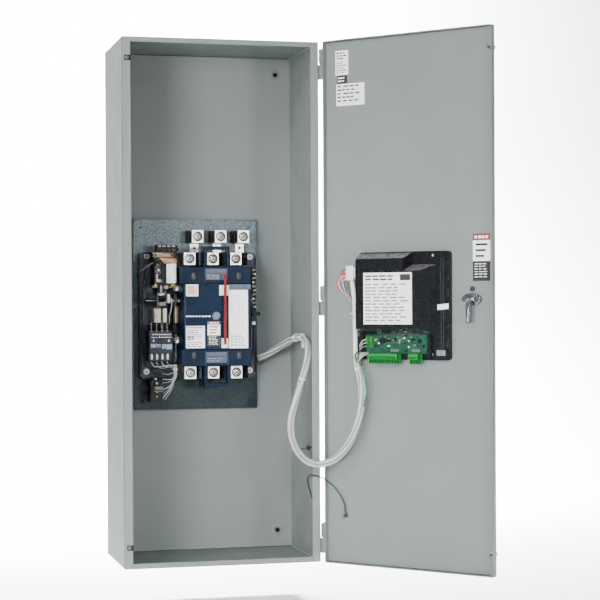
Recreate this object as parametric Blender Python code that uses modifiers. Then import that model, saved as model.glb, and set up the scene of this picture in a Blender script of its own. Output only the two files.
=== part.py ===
"""Automatic transfer switch in a wall-mounted sheet-steel cabinet, door hung open.

Metres, +Z up. The origin is the centre of the cabinet's back, which hangs on the wall,
and the front faces -Y. The door is built flat in its own frame, whose empty stands on the
hinge axis: there x runs from the hinge to the free edge, and -y is the door's inner side.
"""
import math

import bmesh
import bpy
from mathutils import Matrix, Vector

# Cabinet
HEIGHT = 1.2192
WIDTH = 0.462
DEPTH = 0.295
SHEET = 0.002
FOLD = 0.0025
SIDE_FLANGE = 0.0195
END_FLANGE = 0.0125
GAP = 0.0003
BACK = -SHEET                 # inner face of the back wall
FRONT = -DEPTH
RIGHT = WIDTH / 2
WALL_HOLE_X = 0.192
WALL_HOLE_Z = 0.566
WALL_HOLE_RADIUS = 0.005

# Door and its three hinges
DOOR_OPEN = math.radians(-50.0)
AXIS_X = RIGHT + 0.006
AXIS_Y = FRONT - 0.006
DOOR_EDGE = 0.006             # hinge axis to the hinge-side edge of the door
DOOR_WIDTH = 0.4585
DOOR_LIP = -0.005             # y of the edge of the door's returns
DOOR_OUTER = 0.010
DOOR_INNER = DOOR_OUTER - SHEET
HINGE_Z = {"top": 0.556, "middle": 0.003, "bottom": -0.553}
HINGE_HALF = 0.0345
KNUCKLE_RADIUS = 0.0045
KNUCKLE_BORE = 0.0023
PIN_RADIUS = 0.002
LEAF = 0.0014

# Fasteners that close the door
SCREW_U = 0.4505
SCREW_Z = 0.560
SCREW_RADIUS = 0.0024
LATCH_U = 0.4005
LATCH_Z = 0.004
LATCH_SHAFT = 0.0060

# Door-mounted controller, measured from the door's hinge-side edge
CONTROLLER_U = (0.102, 0.346)
CONTROLLER_Z = (-0.132, 0.1136)
CONTROLLER_FLANGE = 0.012
COVER_HEIGHT = 0.050
BOARD_FACE = 0.0144
PANEL_U = (0.145, 0.305)
PANEL_Z = (-0.105, 0.105)
BUTTON_U = 0.225
BUTTON_Z = -0.070
BUTTON_RADIUS = 0.007

# Transfer switch: depths are measured inwards from the cabinet's front
PLATE_X = (-0.166, 0.140)
PLATE_Z = (-0.260, 0.205)
PLATE_DEPTH = 0.2818
PLATE_SHEET = 0.0025
BASE_X = (-0.156, 0.1325)
BASE_Z = (-0.184, 0.124)
BASE_DEPTH = 0.255
POLE_X = (-0.041, 0.0155, 0.072)
POLE_NAMES = ("a", "b", "c")
LUG_WIDTH = 0.029
LUG_HEIGHT = 0.031
LUG_DEPTH = 0.200
LOAD_LUG_DEPTH = 0.224
LOAD_SHIFT = 0.024
LUG_BORE = 0.009
COVER_DEPTH = 0.155
BAR_DEPTH = 0.165
FRAME_DEPTH = 0.175
COVER_WALL = 0.003
SHAFT_DEPTH = 0.215
SHAFT_Z = 0.006
SHAFT_RADIUS = 0.005
SHAFT_SWING = math.radians(25.0)
CRANK_RADIUS = 0.016
INDICATOR_X = 0.0131
INDICATOR_Z = -0.0308
HANDLE_X = 0.0335
HANDLE_DEPTH = 0.145
HANDLE_RADIUS = 0.003
CORE_X = -0.108
CORE_DEPTH = 0.226

# Flexible pieces: each route is a list of points that a smooth curve goes through
HARNESS_RADIUS = 0.0085
HARNESS_ROUTE = [
    (0.1390, -0.0270, -0.1365), (0.1550, -0.0300, -0.1300), (0.1723, -0.0390, -0.1205),
    (0.1940, -0.0640, -0.1040), (0.2085, -0.1003, -0.0902), (0.2160, -0.1434, -0.0838),
    (0.2188, -0.1863, -0.0861), (0.2188, -0.2208, -0.1000), (0.2150, -0.2397, -0.1267),
    (0.2059, -0.2448, -0.1633), (0.1934, -0.2422, -0.2040), (0.1813, -0.2390, -0.2437),
    (0.1729, -0.2410, -0.2812), (0.1721, -0.2552, -0.3176), (0.1803, -0.2815, -0.3499),
    (0.1968, -0.3125, -0.3712), (0.2204, -0.3415, -0.3756), (0.2463, -0.3655, -0.3635),
    (0.2684, -0.3837, -0.3385), (0.2854, -0.3960, -0.3043), (0.2969, -0.4023, -0.2644),
    (0.3029, -0.4029, -0.2224), (0.3030, -0.3978, -0.1820), (0.2972, -0.3868, -0.1466),
    (0.2954, -0.3838, -0.1303),
]
GROUND_RADIUS = 0.0016
GROUND_ROUTE = [
    (0.2250, -0.2640, -0.5050), (0.2235, -0.2635, -0.4880), (0.2200, -0.2625, -0.4690),
    (0.2150, -0.2610, -0.4500), (0.2095, -0.2615, -0.4310), (0.2062, -0.2690, -0.4155),
    (0.2065, -0.2820, -0.4070), (0.2095, -0.2955, -0.4045), (0.2185, -0.3060, -0.4060),
    (0.2310, -0.3165, -0.4105), (0.2425, -0.3285, -0.4195), (0.2545, -0.3425, -0.4335),
    (0.2665, -0.3480, -0.4520), (0.2750, -0.3465, -0.4690), (0.2776, -0.3441, -0.4846),
]
BREAKOUT_RADIUS = 0.0055
BREAKOUT_ROUTE = [
    (0.0945, 0.0165, -0.1290), (0.0925, 0.0160, -0.1140), (0.0915, 0.0150, -0.0920),
    (0.0910, 0.0150, -0.0600), (0.0905, 0.0150, -0.0250), (0.0900, 0.0160, 0.0050),
    (0.0892, 0.0190, 0.0300), (0.0885, 0.0225, 0.0490),
]
ROUTE_STEP = 2.6              # spacing of a tube's points, in tube radii

COLOURS = {
    "cabinet_paint": ((0.42, 0.45, 0.45), 0.45, 0.0),
    "zinc": ((0.36, 0.40, 0.43), 0.40, 0.9),
    "steel": ((0.60, 0.61, 0.62), 0.30, 1.0),
    "black_moulding": ((0.015, 0.016, 0.018), 0.35, 0.0),
    "blue_cover": ((0.035, 0.065, 0.12), 0.35, 0.0),
    "lug_aluminium": ((0.80, 0.80, 0.79), 0.30, 1.0),
    "brass": ((0.75, 0.58, 0.30), 0.35, 1.0),
    "copper_coil": ((0.05, 0.035, 0.03), 0.50, 0.0),
    "red_handle": ((0.55, 0.03, 0.03), 0.40, 0.0),
    "clear_blue": ((0.10, 0.20, 0.32), 0.15, 0.0),
    "white_nylon": ((0.80, 0.80, 0.77), 0.45, 0.0),
    "green_block": ((0.10, 0.45, 0.10), 0.40, 0.0),
    "green_board": ((0.02, 0.16, 0.08), 0.40, 0.0),
    "grey_loom": ((0.66, 0.67, 0.65), 0.55, 0.0),
    "green_wire": ((0.02, 0.10, 0.06), 0.45, 0.0),
}


# ---------------------------------------------------------------- scene and materials

def clear_scene():
    for obj in list(bpy.data.objects):
        bpy.data.objects.remove(obj, do_unlink=True)


def make_collection(name):
    collection = bpy.data.collections.new(name)
    bpy.context.scene.collection.children.link(collection)
    return collection


def material(part_name, finish):
    colour, roughness, metallic = COLOURS[finish]
    mat = bpy.data.materials.new(part_name)
    mat.use_nodes = True
    shader = mat.node_tree.nodes["Principled BSDF"]
    shader.inputs["Base Color"].default_value = (*colour, 1.0)
    shader.inputs["Roughness"].default_value = roughness
    shader.inputs["Metallic"].default_value = metallic
    mat.diffuse_color = (*colour, 1.0)
    return mat


# ---------------------------------------------------------------- basic solids

def place(name, bm, origin, parent=None):
    """Turn a bmesh drawn in its parent's coordinates into an object with that origin."""
    bmesh.ops.translate(bm, verts=bm.verts, vec=-Vector(origin))
    mesh = bpy.data.meshes.new(name)
    bm.to_mesh(mesh)
    bm.free()
    obj = bpy.data.objects.new(name, mesh)
    obj.location = origin
    obj.parent = parent
    PARTS.objects.link(obj)
    return obj


def block(name, x, y, z, parent=None, origin=None, round_edges=0.0, only_along=None):
    """A box between pairs of coordinates, with rounded edges if asked for."""
    low = Vector((x[0], y[0], z[0]))
    high = Vector((x[1], y[1], z[1]))
    size = high - low
    bm = bmesh.new()
    bmesh.ops.create_cube(bm, size=1.0)
    bmesh.ops.scale(bm, verts=bm.verts, vec=size)
    bmesh.ops.translate(bm, verts=bm.verts, vec=(low + high) / 2)
    if round_edges:
        edges = [e for e in bm.edges if only_along is None or runs_along(e, only_along)]
        bmesh.ops.bevel(bm, geom=edges, offset=round_edges, segments=3, profile=0.5,
                        affect="EDGES")
    return place(name, bm, origin or (low + high) / 2, parent)


def runs_along(edge, axis):
    direction = (edge.verts[1].co - edge.verts[0].co).normalized()
    return abs(direction["xyz".index(axis)]) > 0.99


def rod(name, start, end, radius, parent=None, origin=None, sides=20, end_radius=None):
    """A cylinder, or a cone frustum, between two points."""
    start = Vector(start)
    end = Vector(end)
    turn = (end - start).to_track_quat("Z", "Y").to_matrix().to_4x4()
    bm = bmesh.new()
    bmesh.ops.create_cone(
        bm, cap_ends=True, segments=sides, radius1=radius,
        radius2=radius if end_radius is None else end_radius,
        depth=(end - start).length,
        matrix=Matrix.Translation((start + end) / 2) @ turn,
    )
    return place(name, bm, origin or (start + end) / 2, parent)


def tool(obj):
    """Make an object a cutter or joined piece that is not shown or built."""
    PARTS.objects.unlink(obj)
    TOOLS.objects.link(obj)
    obj.hide_render = True
    obj.display_type = "WIRE"
    return obj


def boolean(target, pieces, operation):
    for piece in pieces:
        modifier = target.modifiers.new(operation.lower(), "BOOLEAN")
        modifier.operation = operation
        modifier.solver = "EXACT"
        modifier.object = tool(piece)
    return target


def join(target, *pieces):
    return boolean(target, pieces, "UNION")


def cut(target, *pieces):
    return boolean(target, pieces, "DIFFERENCE")


def finish(obj, finish_name):
    obj.data.materials.append(material(obj.name, finish_name))
    obj.data.shade_smooth()
    obj.data.set_sharp_from_angle(angle=math.radians(35.0))
    return obj


def smooth_route(points, step):
    """Points spaced about a step apart on a Catmull-Rom curve through the given points."""
    points = [Vector(p) for p in points]
    first = points[0] * 2 - points[1]
    last = points[-1] * 2 - points[-2]
    ends = [first] + points + [last]
    fine = []
    for i in range(len(points) - 1):
        p0, p1, p2, p3 = ends[i:i + 4]
        for k in range(24):
            t = k / 24
            fine.append(0.5 * (2 * p1 + (p2 - p0) * t + (2 * p0 - 5 * p1 + 4 * p2 - p3) * t ** 2
                               + (3 * p1 - p0 - 3 * p2 + p3) * t ** 3))
    fine.append(points[-1])
    length = sum((b - a).length for a, b in zip(fine, fine[1:]))
    count = max(4, round(length / step))
    route = [fine[0]]
    walked = 0.0
    for a, b in zip(fine, fine[1:]):
        walked += (b - a).length
        if walked >= len(route) * length / count and len(route) < count:
            route.append(b)
    route.append(fine[-1])
    return route


def tube(name, points, radius, finish_name, parent=None, resolution=2):
    """A flexible round piece: a poly curve with a bevel and filled caps."""
    route = smooth_route(points, radius * ROUTE_STEP)
    curve = bpy.data.curves.new(name, "CURVE")
    curve.dimensions = "3D"
    curve.bevel_depth = radius
    curve.bevel_resolution = resolution
    curve.use_fill_caps = True
    spline = curve.splines.new("POLY")
    spline.points.add(len(route) - 1)
    for point, position in zip(spline.points, route):
        point.co = (*position, 1.0)
    curve.materials.append(material(name, finish_name))
    obj = bpy.data.objects.new(name, curve)
    obj.parent = parent
    PARTS.objects.link(obj)
    return obj


# ---------------------------------------------------------------- cabinet

def depth(*values):
    """Y coordinates of depths measured inwards from the cabinet's front."""
    return tuple(sorted(FRONT + value for value in values))


def at(x, inward, z):
    return (x, FRONT + inward, z)


def open_pan(name, x, y, z, open_side, flange, parent=None):
    """A folded sheet box, open on one side in y, with optional flanges round the opening."""
    low = Vector((x[0], y[0], z[0]))
    high = Vector((x[1], y[1], z[1]))
    bm = bmesh.new()
    bmesh.ops.create_cube(bm, size=1.0)
    bmesh.ops.scale(bm, verts=bm.verts, vec=high - low)
    bmesh.ops.translate(bm, verts=bm.verts, vec=(low + high) / 2)
    mouth = [f for f in bm.faces if f.normal.y * open_side > 0.9]
    if flange:
        bmesh.ops.inset_region(bm, faces=mouth, thickness=min(flange))
        for vert in mouth[0].verts:
            vert.co.x = math.copysign((high.x - low.x) / 2 - flange[0], vert.co.x)
            vert.co.z = math.copysign((high.z - low.z) / 2 - flange[1], vert.co.z)
    bmesh.ops.delete(bm, geom=mouth, context="FACES")
    folds = [e for e in bm.edges if len(e.link_faces) == 2 and e.calc_face_angle() > 1.0]
    bmesh.ops.bevel(bm, geom=folds, offset=FOLD, segments=2, profile=0.5, affect="EDGES")
    obj = place(name, bm, (low + high) / 2, parent)
    solid = obj.modifiers.new("sheet", "SOLIDIFY")
    solid.thickness = SHEET
    solid.offset = -1.0
    solid.use_even_offset = True
    return obj


def build_cabinet():
    shell = open_pan("cabinet_shell", (-RIGHT, RIGHT), (FRONT, 0.0),
                     (-HEIGHT / 2, HEIGHT / 2), -1, (SIDE_FLANGE, END_FLANGE))
    holes = []
    for x in (-WALL_HOLE_X, WALL_HOLE_X):
        for z in (-WALL_HOLE_Z, WALL_HOLE_Z):
            holes.append(rod("wall_hole", (x, -0.02, z), (x, 0.02, z), WALL_HOLE_RADIUS))
    for z in (-SCREW_Z, SCREW_Z):
        x = RIGHT - SCREW_U
        holes.append(rod("screw_hole", (x, FRONT - 0.01, z), (x, FRONT + 0.01, z), 0.0032))
    finish(cut(shell, *holes), "cabinet_paint")
    for place_name, z in (("top", SCREW_Z), ("bottom", -SCREW_Z)):
        build_clip_nut("clip_nut_" + place_name, z)
    build_tie_mount()


def build_clip_nut(name, z):
    """A U-shaped spring nut pushed over the edge of the left flange."""
    x = RIGHT - SCREW_U
    edge = -RIGHT + SIDE_FLANGE
    clip = block(name, (x - 0.0055, edge + 0.0013), depth(-0.0013, 0.0033),
                 (z - 0.006, z + 0.006))
    slot = block("slot", (x - 0.01, edge + GAP), depth(-GAP, SHEET + GAP), (z - 0.01, z + 0.01))
    barrel = rod("barrel", at(x, 0.0028, z), at(x, 0.0085, z), 0.0045, sides=16)
    bore = rod("bore", at(x, -0.01, z), at(x, 0.02, z), 0.0028, sides=16)
    join(clip, barrel)
    finish(cut(clip, slot, bore), "black_moulding")


def build_tie_mount():
    """A saddle on the right-hand wall that the harness is tied to."""
    wall = RIGHT - SHEET - GAP
    z = -0.0965
    y = -0.1434
    mount = block("harness_tie_mount", (wall - 0.004, wall), (y - 0.012, y + 0.012),
                  (z - 0.0135, z + 0.0005), round_edges=0.0012)
    finish(mount, "white_nylon")


# ---------------------------------------------------------------- hinges

def build_hinges(door_frame):
    for name, z in HINGE_Z.items():
        build_cabinet_leaf("cabinet_hinge_leaf_" + name, z)
        build_door_leaf("door_hinge_leaf_" + name, z, door_frame)
        build_pin("hinge_pin_" + name, z)


def build_cabinet_leaf(name, z):
    span = (z - HINGE_HALF, z - GAP)
    side = RIGHT + GAP
    leaf = block(name, (side, side + LEAF), (AXIS_Y - 0.001, FRONT + 0.030), span)
    tab = block("tab", (side, AXIS_X - 0.002), (AXIS_Y - 0.001, AXIS_Y + 0.004), span)
    knuckle = rod("knuckle", (AXIS_X, AXIS_Y, span[0]), (AXIS_X, AXIS_Y, span[1]),
                  KNUCKLE_RADIUS, sides=24)
    bore = rod("bore", (AXIS_X, AXIS_Y, span[0] - 0.01), (AXIS_X, AXIS_Y, span[1] + 0.01),
               KNUCKLE_BORE, sides=16)
    join(leaf, tab, knuckle)
    finish(cut(leaf, bore), "cabinet_paint")


def build_door_leaf(name, z, frame):
    span = (z + GAP, z + HINGE_HALF)
    face = DOOR_EDGE - GAP
    leaf = block(name, (face - LEAF, face), (-0.004, 0.009), span, frame)
    tab = block("tab", (0.002, face), (-0.003, 0.003), span, frame)
    knuckle = rod("knuckle", (0, 0, span[0]), (0, 0, span[1]), KNUCKLE_RADIUS, frame, sides=24)
    bore = rod("bore", (0, 0, span[0] - 0.01), (0, 0, span[1] + 0.01), KNUCKLE_BORE, frame,
               sides=16)
    join(leaf, tab, knuckle)
    finish(cut(leaf, bore), "cabinet_paint")


def build_pin(name, z):
    """A hinge pin with a low head that rests on the upper knuckle."""
    top = z + HINGE_HALF + GAP
    pin = rod(name, (AXIS_X, AXIS_Y, z - HINGE_HALF + 0.001), (AXIS_X, AXIS_Y, top + 0.0005),
              PIN_RADIUS, sides=16)
    head = rod("head", (AXIS_X, AXIS_Y, top), (AXIS_X, AXIS_Y, top + 0.0015), 0.0034, sides=20)
    finish(join(pin, head), "steel")


# ---------------------------------------------------------------- door

def du(value):
    """x in the door frame of a distance from the door's hinge-side edge."""
    return DOOR_EDGE + value


def dw(*values):
    """y in the door frame of heights above the door's inner face."""
    return tuple(sorted(DOOR_INNER - value for value in values))


def on_door(u, w, z):
    return (du(u), DOOR_INNER - w, z)


def span_u(*values):
    return tuple(du(value) for value in values)


def build_door(frame):
    door = open_pan("door_panel", span_u(0.0, DOOR_WIDTH), (DOOR_LIP, DOOR_OUTER),
                    (-HEIGHT / 2, HEIGHT / 2), -1, None, frame)
    latch_hole = rod("latch_hole", on_door(LATCH_U, -0.02, LATCH_Z),
                     on_door(LATCH_U, 0.01, LATCH_Z), 0.0064, frame)
    cable_slot = block("cable_slot", span_u(0.200, 0.250), (0.0, 0.02), (0.020, 0.045), frame)
    button_hole = rod("button_hole", on_door(BUTTON_U, -0.02, BUTTON_Z),
                      on_door(BUTTON_U, 0.01, BUTTON_Z), BUTTON_RADIUS + 0.0006, frame, sides=28)
    holes = [rod("screw_hole", on_door(SCREW_U, -0.02, z), on_door(SCREW_U, 0.01, z), 0.0032,
                 frame) for z in (SCREW_Z, -SCREW_Z)]
    finish(cut(door, latch_hole, cable_slot, button_hole, *holes), "cabinet_paint")
    for name, z in (("top", SCREW_Z), ("bottom", -SCREW_Z)):
        build_captive_screw("captive_screw_" + name, z, frame)
    build_latch(frame)
    build_ground_stud(frame)


def build_captive_screw(name, z, frame):
    """A knurled door screw, held in its hole by a collar on the inner side."""
    origin = on_door(SCREW_U, 0.0, z)
    screw = rod(name, on_door(SCREW_U, -0.004, z), on_door(SCREW_U, 0.020, z), SCREW_RADIUS,
                frame, origin, sides=16)
    collar = rod("collar", on_door(SCREW_U, GAP, z), on_door(SCREW_U, 0.0023, z), 0.005, frame)
    head = rod("head", on_door(SCREW_U, -SHEET - GAP, z), on_door(SCREW_U, -0.0085, z), 0.0062,
               frame, sides=24)
    finish(join(screw, collar, head), "steel")


def build_latch(frame):
    origin = on_door(LATCH_U, 0.0, LATCH_Z)
    plate = rod("latch_escutcheon", on_door(LATCH_U, GAP, LATCH_Z),
                on_door(LATCH_U, 0.0086, LATCH_Z), 0.0140, frame, sides=28, end_radius=0.0120)
    for vert in plate.data.vertices:
        vert.co.x *= 1.75
    plate_hole = rod("plate_hole", on_door(LATCH_U, -0.01, LATCH_Z),
                     on_door(LATCH_U, 0.02, LATCH_Z), LATCH_SHAFT + 0.0004, frame)
    finish(cut(plate, plate_hole), "zinc")

    cam = rod("latch_cam", on_door(LATCH_U, 0.0005, LATCH_Z), on_door(LATCH_U, 0.0225, LATCH_Z),
              LATCH_SHAFT, frame, origin)
    bar = block("bar", span_u(LATCH_U - 0.015, LATCH_U + 0.015), dw(0.0090, 0.0160),
                (LATCH_Z - 0.0045, LATCH_Z + 0.0045), frame)
    lever = block("lever", span_u(LATCH_U - 0.0065, LATCH_U + 0.0065), dw(0.0165, 0.0212),
                  (LATCH_Z - 0.053, LATCH_Z + 0.0065), frame, round_edges=0.005, only_along="y")
    finish(join(cam, bar, lever), "steel")

    handle = rod("latch_handle", on_door(LATCH_U, -0.0003, LATCH_Z),
                 on_door(LATCH_U, -0.020, LATCH_Z), LATCH_SHAFT - 0.0003, frame, origin)
    hub = rod("hub", on_door(LATCH_U, -SHEET - GAP, LATCH_Z), on_door(LATCH_U, -0.009, LATCH_Z),
              0.013, frame, sides=28, end_radius=0.010)
    wing = block("wing", span_u(LATCH_U - 0.030, LATCH_U + 0.030), dw(-0.012, -0.022),
                 (LATCH_Z - 0.007, LATCH_Z + 0.007), frame, round_edges=0.003)
    finish(join(handle, hub, wing), "black_moulding")


def build_ground_stud(frame):
    """Welded stud with a nut and the ring terminal that ends the ground wire."""
    u, z = 0.0530, -0.4975
    stud = rod("door_ground_stud", on_door(u, GAP, z), on_door(u, 0.012, z), 0.003, frame,
               sides=12)
    nut = rod("nut", on_door(u, 0.0045, z), on_door(u, 0.0085, z), 0.0055, frame, sides=6)
    ring = rod("ring", on_door(u, 0.0030, z), on_door(u, 0.0048, z), 0.0055, frame, sides=16)
    barrel = rod("barrel", on_door(u, 0.0045, z + 0.003), on_door(u, 0.0045, z + 0.0125),
                 0.0023, frame, sides=12)
    finish(join(stud, nut, ring, barrel), "brass")


# ---------------------------------------------------------------- controller on the door

def build_controller(frame):
    build_controller_base(frame)
    build_controller_cover(frame)
    board = block("controller_board", span_u(0.1200, 0.2890), dw(0.0128, BOARD_FACE),
                  (-0.1175, 0.0550), frame)
    finish(board, "green_board")
    blocks = (("long", (0.1360, 0.2185), (-0.1400, -0.1180), 0.0320),
              ("short", (0.2480, 0.2755), (-0.1405, -0.1180), 0.0320),
              ("small", (0.1265, 0.1430), (-0.1040, -0.0800), 0.0240))
    for name, u, z, top in blocks:
        terminal_block("terminal_block_" + name, u, z, top, frame)
    connector = block("harness_connector", span_u(0.0790, 0.1000), dw(0.0150, 0.0350),
                      (0.0500, 0.0840), frame, round_edges=0.001)
    finish(connector, "white_nylon")
    points = [on_door(u, w, z) for u, w, z in BREAKOUT_ROUTE]
    tube("harness_breakout", points, BREAKOUT_RADIUS, "white_nylon", frame)


def build_controller_base(frame):
    """Moulded back plate with a rim round the terminal recess."""
    base = block("controller_base", span_u(*CONTROLLER_U), dw(GAP, CONTROLLER_FLANGE),
                 CONTROLLER_Z, frame, round_edges=0.006, only_along="y")
    left_rim = block("rim", span_u(0.1040, 0.1185), dw(0.008, 0.0230), (-0.1300, -0.0785), frame)
    right_rim = block("rim", span_u(0.2905, 0.3000), dw(0.008, 0.0180), (-0.1300, -0.0785),
                      frame)
    finish(join(base, left_rim, right_rim), "black_moulding")


def build_controller_cover(frame):
    """Sloping-sided moulding whose top right corner steps in to clear a screw."""
    foot = [(0.1040, 0.1120), (0.2475, 0.1120), (0.2475, 0.0846), (0.3140, 0.0846),
            (0.3140, -0.0766), (0.1040, -0.0766)]
    face = [(0.1170, 0.0980), (0.2475, 0.0980), (0.2475, 0.0690), (0.2910, 0.0690),
            (0.2910, -0.0615), (0.1170, -0.0615)]
    bm = bmesh.new()
    low = [bm.verts.new(on_door(u, CONTROLLER_FLANGE - 0.001, z)) for u, z in foot]
    high = [bm.verts.new(on_door(u, COVER_HEIGHT, z)) for u, z in face]
    bm.faces.new(high)
    for i in range(len(foot)):
        j = (i + 1) % len(foot)
        bm.faces.new((low[i], low[j], high[j], high[i]))
    bmesh.ops.recalc_face_normals(bm, faces=bm.faces)
    cover = place("controller_cover", bm, on_door(0.2, 0.03, 0.0), frame)
    shell = cover.modifiers.new("wall", "SOLIDIFY")
    shell.thickness = 0.0025
    shell.offset = -1.0
    shell.use_even_offset = True
    slot = block("slot", span_u(0.1180, 0.2905), dw(0.005, BOARD_FACE + 0.0005),
                 (-0.085, -0.060), frame)
    below = block("below", span_u(0.09, 0.33), dw(0.005, CONTROLLER_FLANGE + GAP),
                  (-0.09, 0.13), frame)
    finish(cut(cover, slot, below), "black_moulding")


def terminal_block(name, u, z, top, frame):
    """A screw terminal block: a body with a lower step for the wire entries."""
    middle = (z[0] + z[1]) / 2
    bottom = BOARD_FACE + GAP
    body = block(name, span_u(*u), dw(bottom, top), (middle - 0.002, z[1]), frame)
    step = block("step", span_u(*u), dw(bottom, top - 0.006), (z[0], middle), frame)
    finish(join(body, step), "green_block")


def build_operator_panel(frame):
    """Overlay on the outer side of the door, with the sprung test button in it."""
    panel = block("operator_panel", span_u(*PANEL_U), dw(-SHEET - GAP, -0.0055), PANEL_Z, frame,
                  round_edges=0.006, only_along="y")
    hole = rod("hole", on_door(BUTTON_U, 0.0, BUTTON_Z), on_door(BUTTON_U, -0.02, BUTTON_Z),
               BUTTON_RADIUS + 0.0004, frame, sides=28)
    finish(cut(panel, hole), "black_moulding")
    button = rod("test_button", on_door(BUTTON_U, -0.0034, BUTTON_Z),
                 on_door(BUTTON_U, -0.0095, BUTTON_Z), BUTTON_RADIUS, frame,
                 on_door(BUTTON_U, -0.0034, BUTTON_Z), sides=28)
    finish(button, "white_nylon")


# ---------------------------------------------------------------- transfer switch

def build_switch():
    build_mounting_plate()
    build_switch_base()
    build_covers()
    build_lugs()
    build_main_shaft()
    build_solenoid()
    build_relay()
    build_terminal_strips()
    build_aux_contacts()
    build_indicator()
    build_maintenance_handle()


def build_mounting_plate():
    front, back = PLATE_DEPTH, PLATE_DEPTH + PLATE_SHEET
    plate = block("switch_mounting_plate", PLATE_X, depth(front, back), PLATE_Z)
    spacers = []
    for x in (PLATE_X[0] + 0.02, PLATE_X[1] - 0.02):
        for z in (PLATE_Z[0] + 0.02, PLATE_Z[1] - 0.02):
            spacers.append(rod("spacer", at(x, front + 0.001, z),
                               (x, BACK - GAP, z), 0.008, sides=16))
    notch = rod("notch", at(PLATE_X[0], front - 0.01, -0.003), at(PLATE_X[0], back + 0.02, -0.003),
                0.009)
    join(plate, *spacers)
    finish(cut(plate, notch), "zinc")


def build_switch_base():
    """Moulded base with a raised rim, phase barriers and the two shaft bearings."""
    back = PLATE_DEPTH - GAP
    base = block("switch_base", BASE_X, depth(BASE_DEPTH, back), BASE_Z, round_edges=0.014,
                 only_along="y")
    pieces = []
    for x in (-0.0165, 0.0475):
        pieces.append(block("barrier", (x - 0.003, x + 0.003), depth(0.198, 0.257),
                            (0.0905, 0.1225)))
        pieces.append(block("barrier", (x - 0.003, x + 0.003), depth(0.198, 0.257),
                            (-0.1830, -0.1535)))
    for x0, x1 in ((-0.0790, -0.0730), (0.1050, 0.1110)):
        pieces.append(block("bearing", (x0, x1), depth(0.203, 0.257),
                            (SHAFT_Z - 0.014, SHAFT_Z + 0.014)))
    bore = rod("bore", at(-0.09, SHAFT_DEPTH, SHAFT_Z), at(0.12, SHAFT_DEPTH, SHAFT_Z),
               SHAFT_RADIUS + 0.0005, sides=24)
    join(base, *pieces)
    finish(cut(base, bore), "black_moulding")


def hollow_cover(name, x, z, front, edge):
    """A moulded cover over the base, open at its back."""
    cover = block(name, x, depth(front, BASE_DEPTH - GAP), z, round_edges=edge)
    inside = block("inside", (x[0] + COVER_WALL, x[1] - COVER_WALL),
                   depth(front + COVER_WALL, BASE_DEPTH + 0.01),
                   (z[0] + COVER_WALL, z[1] - COVER_WALL))
    return cover, inside


def build_covers():
    cover, inside = hollow_cover("main_cover", (-0.0640, 0.0995), (-0.1105, 0.0447),
                                 COVER_DEPTH, 0.002)
    stem_hole = rod("stem_hole", at(INDICATOR_X, 0.14, INDICATOR_Z),
                    at(INDICATOR_X, 0.17, INDICATOR_Z), 0.0039)
    shaft_hole = rod("shaft_hole", at(-0.07, SHAFT_DEPTH, SHAFT_Z),
                     at(0.11, SHAFT_DEPTH, SHAFT_Z), SHAFT_RADIUS + 0.001)
    finish(cut(cover, inside, stem_hole, shaft_hole), "blue_cover")
    end_cover("upper_cover", (0.0450, 0.0869), (0.0860, 0.1360))
    end_cover("lower_cover", (-0.1520, -0.1108), (-0.2020, -0.1510))


def end_cover(name, bar_z, frame_z):
    """Bar across the three poles with a frame that reaches round the middle lug."""
    bar, inside = hollow_cover(name, (-0.0690, 0.1020), bar_z, BAR_DEPTH, 0.002)
    frame_x = (-0.0110, 0.0510)
    frame = block("frame", frame_x, depth(FRAME_DEPTH, BASE_DEPTH - GAP), frame_z)
    upward = 1 if frame_z[1] > 0 else -1
    middle = sum(frame_z) / 2
    reach = (frame_z[1] - frame_z[0]) / 2
    opening_z = sorted((middle + upward * (reach - 0.008), middle - upward * (reach + 0.001)))
    opening = block("opening", (frame_x[0] + 0.006, frame_x[1] - 0.006),
                    depth(FRAME_DEPTH - 0.01, BASE_DEPTH + 0.01), opening_z)
    cable_way = block("cable_way", (frame_x[0] + 0.006, frame_x[1] - 0.006),
                      depth(0.2060, BASE_DEPTH + 0.01), (frame_z[0] - 0.01, frame_z[1] + 0.01))
    barrier_gap = block("barrier_gap", (0.0440, 0.0511), depth(0.1970, BASE_DEPTH + 0.01),
                        (frame_z[0] - 0.01, frame_z[1] + 0.01))
    cut(frame, opening, cable_way, barrier_gap)
    join(bar, frame)
    finish(cut(bar, inside), "blue_cover")


def lug(name, x, z, front, back, tang=None):
    """Aluminium terminal lug: vertical cable bore, and a recess for the set screw."""
    body = block(name, (x - LUG_WIDTH / 2, x + LUG_WIDTH / 2), depth(front, back), z,
                 round_edges=0.001)
    middle = front + 0.024
    bore = rod("bore", at(x, middle, z[0] - 0.01), at(x, middle, z[1] + 0.01), LUG_BORE)
    centre = sum(z) / 2
    recess = rod("recess", at(x, front - 0.01, centre), at(x, front + 0.018, centre), 0.0092)
    if tang:
        join(body, block("tang", (x - 0.0105, x + 0.0105), depth(back - 0.006, back - 0.001),
                         tang))
    finish(cut(body, bore, recess), "lug_aluminium")


def build_lugs():
    back = BASE_DEPTH - GAP
    for name, x in zip(POLE_NAMES, POLE_X):
        lug("upper_source_lug_" + name, x, (0.0912, 0.0912 + LUG_HEIGHT), LUG_DEPTH, back)
        lug("lower_source_lug_" + name, x, (-0.1525 - LUG_HEIGHT, -0.1525), LUG_DEPTH, back)
        lug("load_lug_" + name, x + LOAD_SHIFT, (0.1455, 0.1455 + LUG_HEIGHT + 0.001),
            LOAD_LUG_DEPTH, PLATE_DEPTH - GAP, tang=(BASE_Z[1] + GAP, 0.150))


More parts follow.
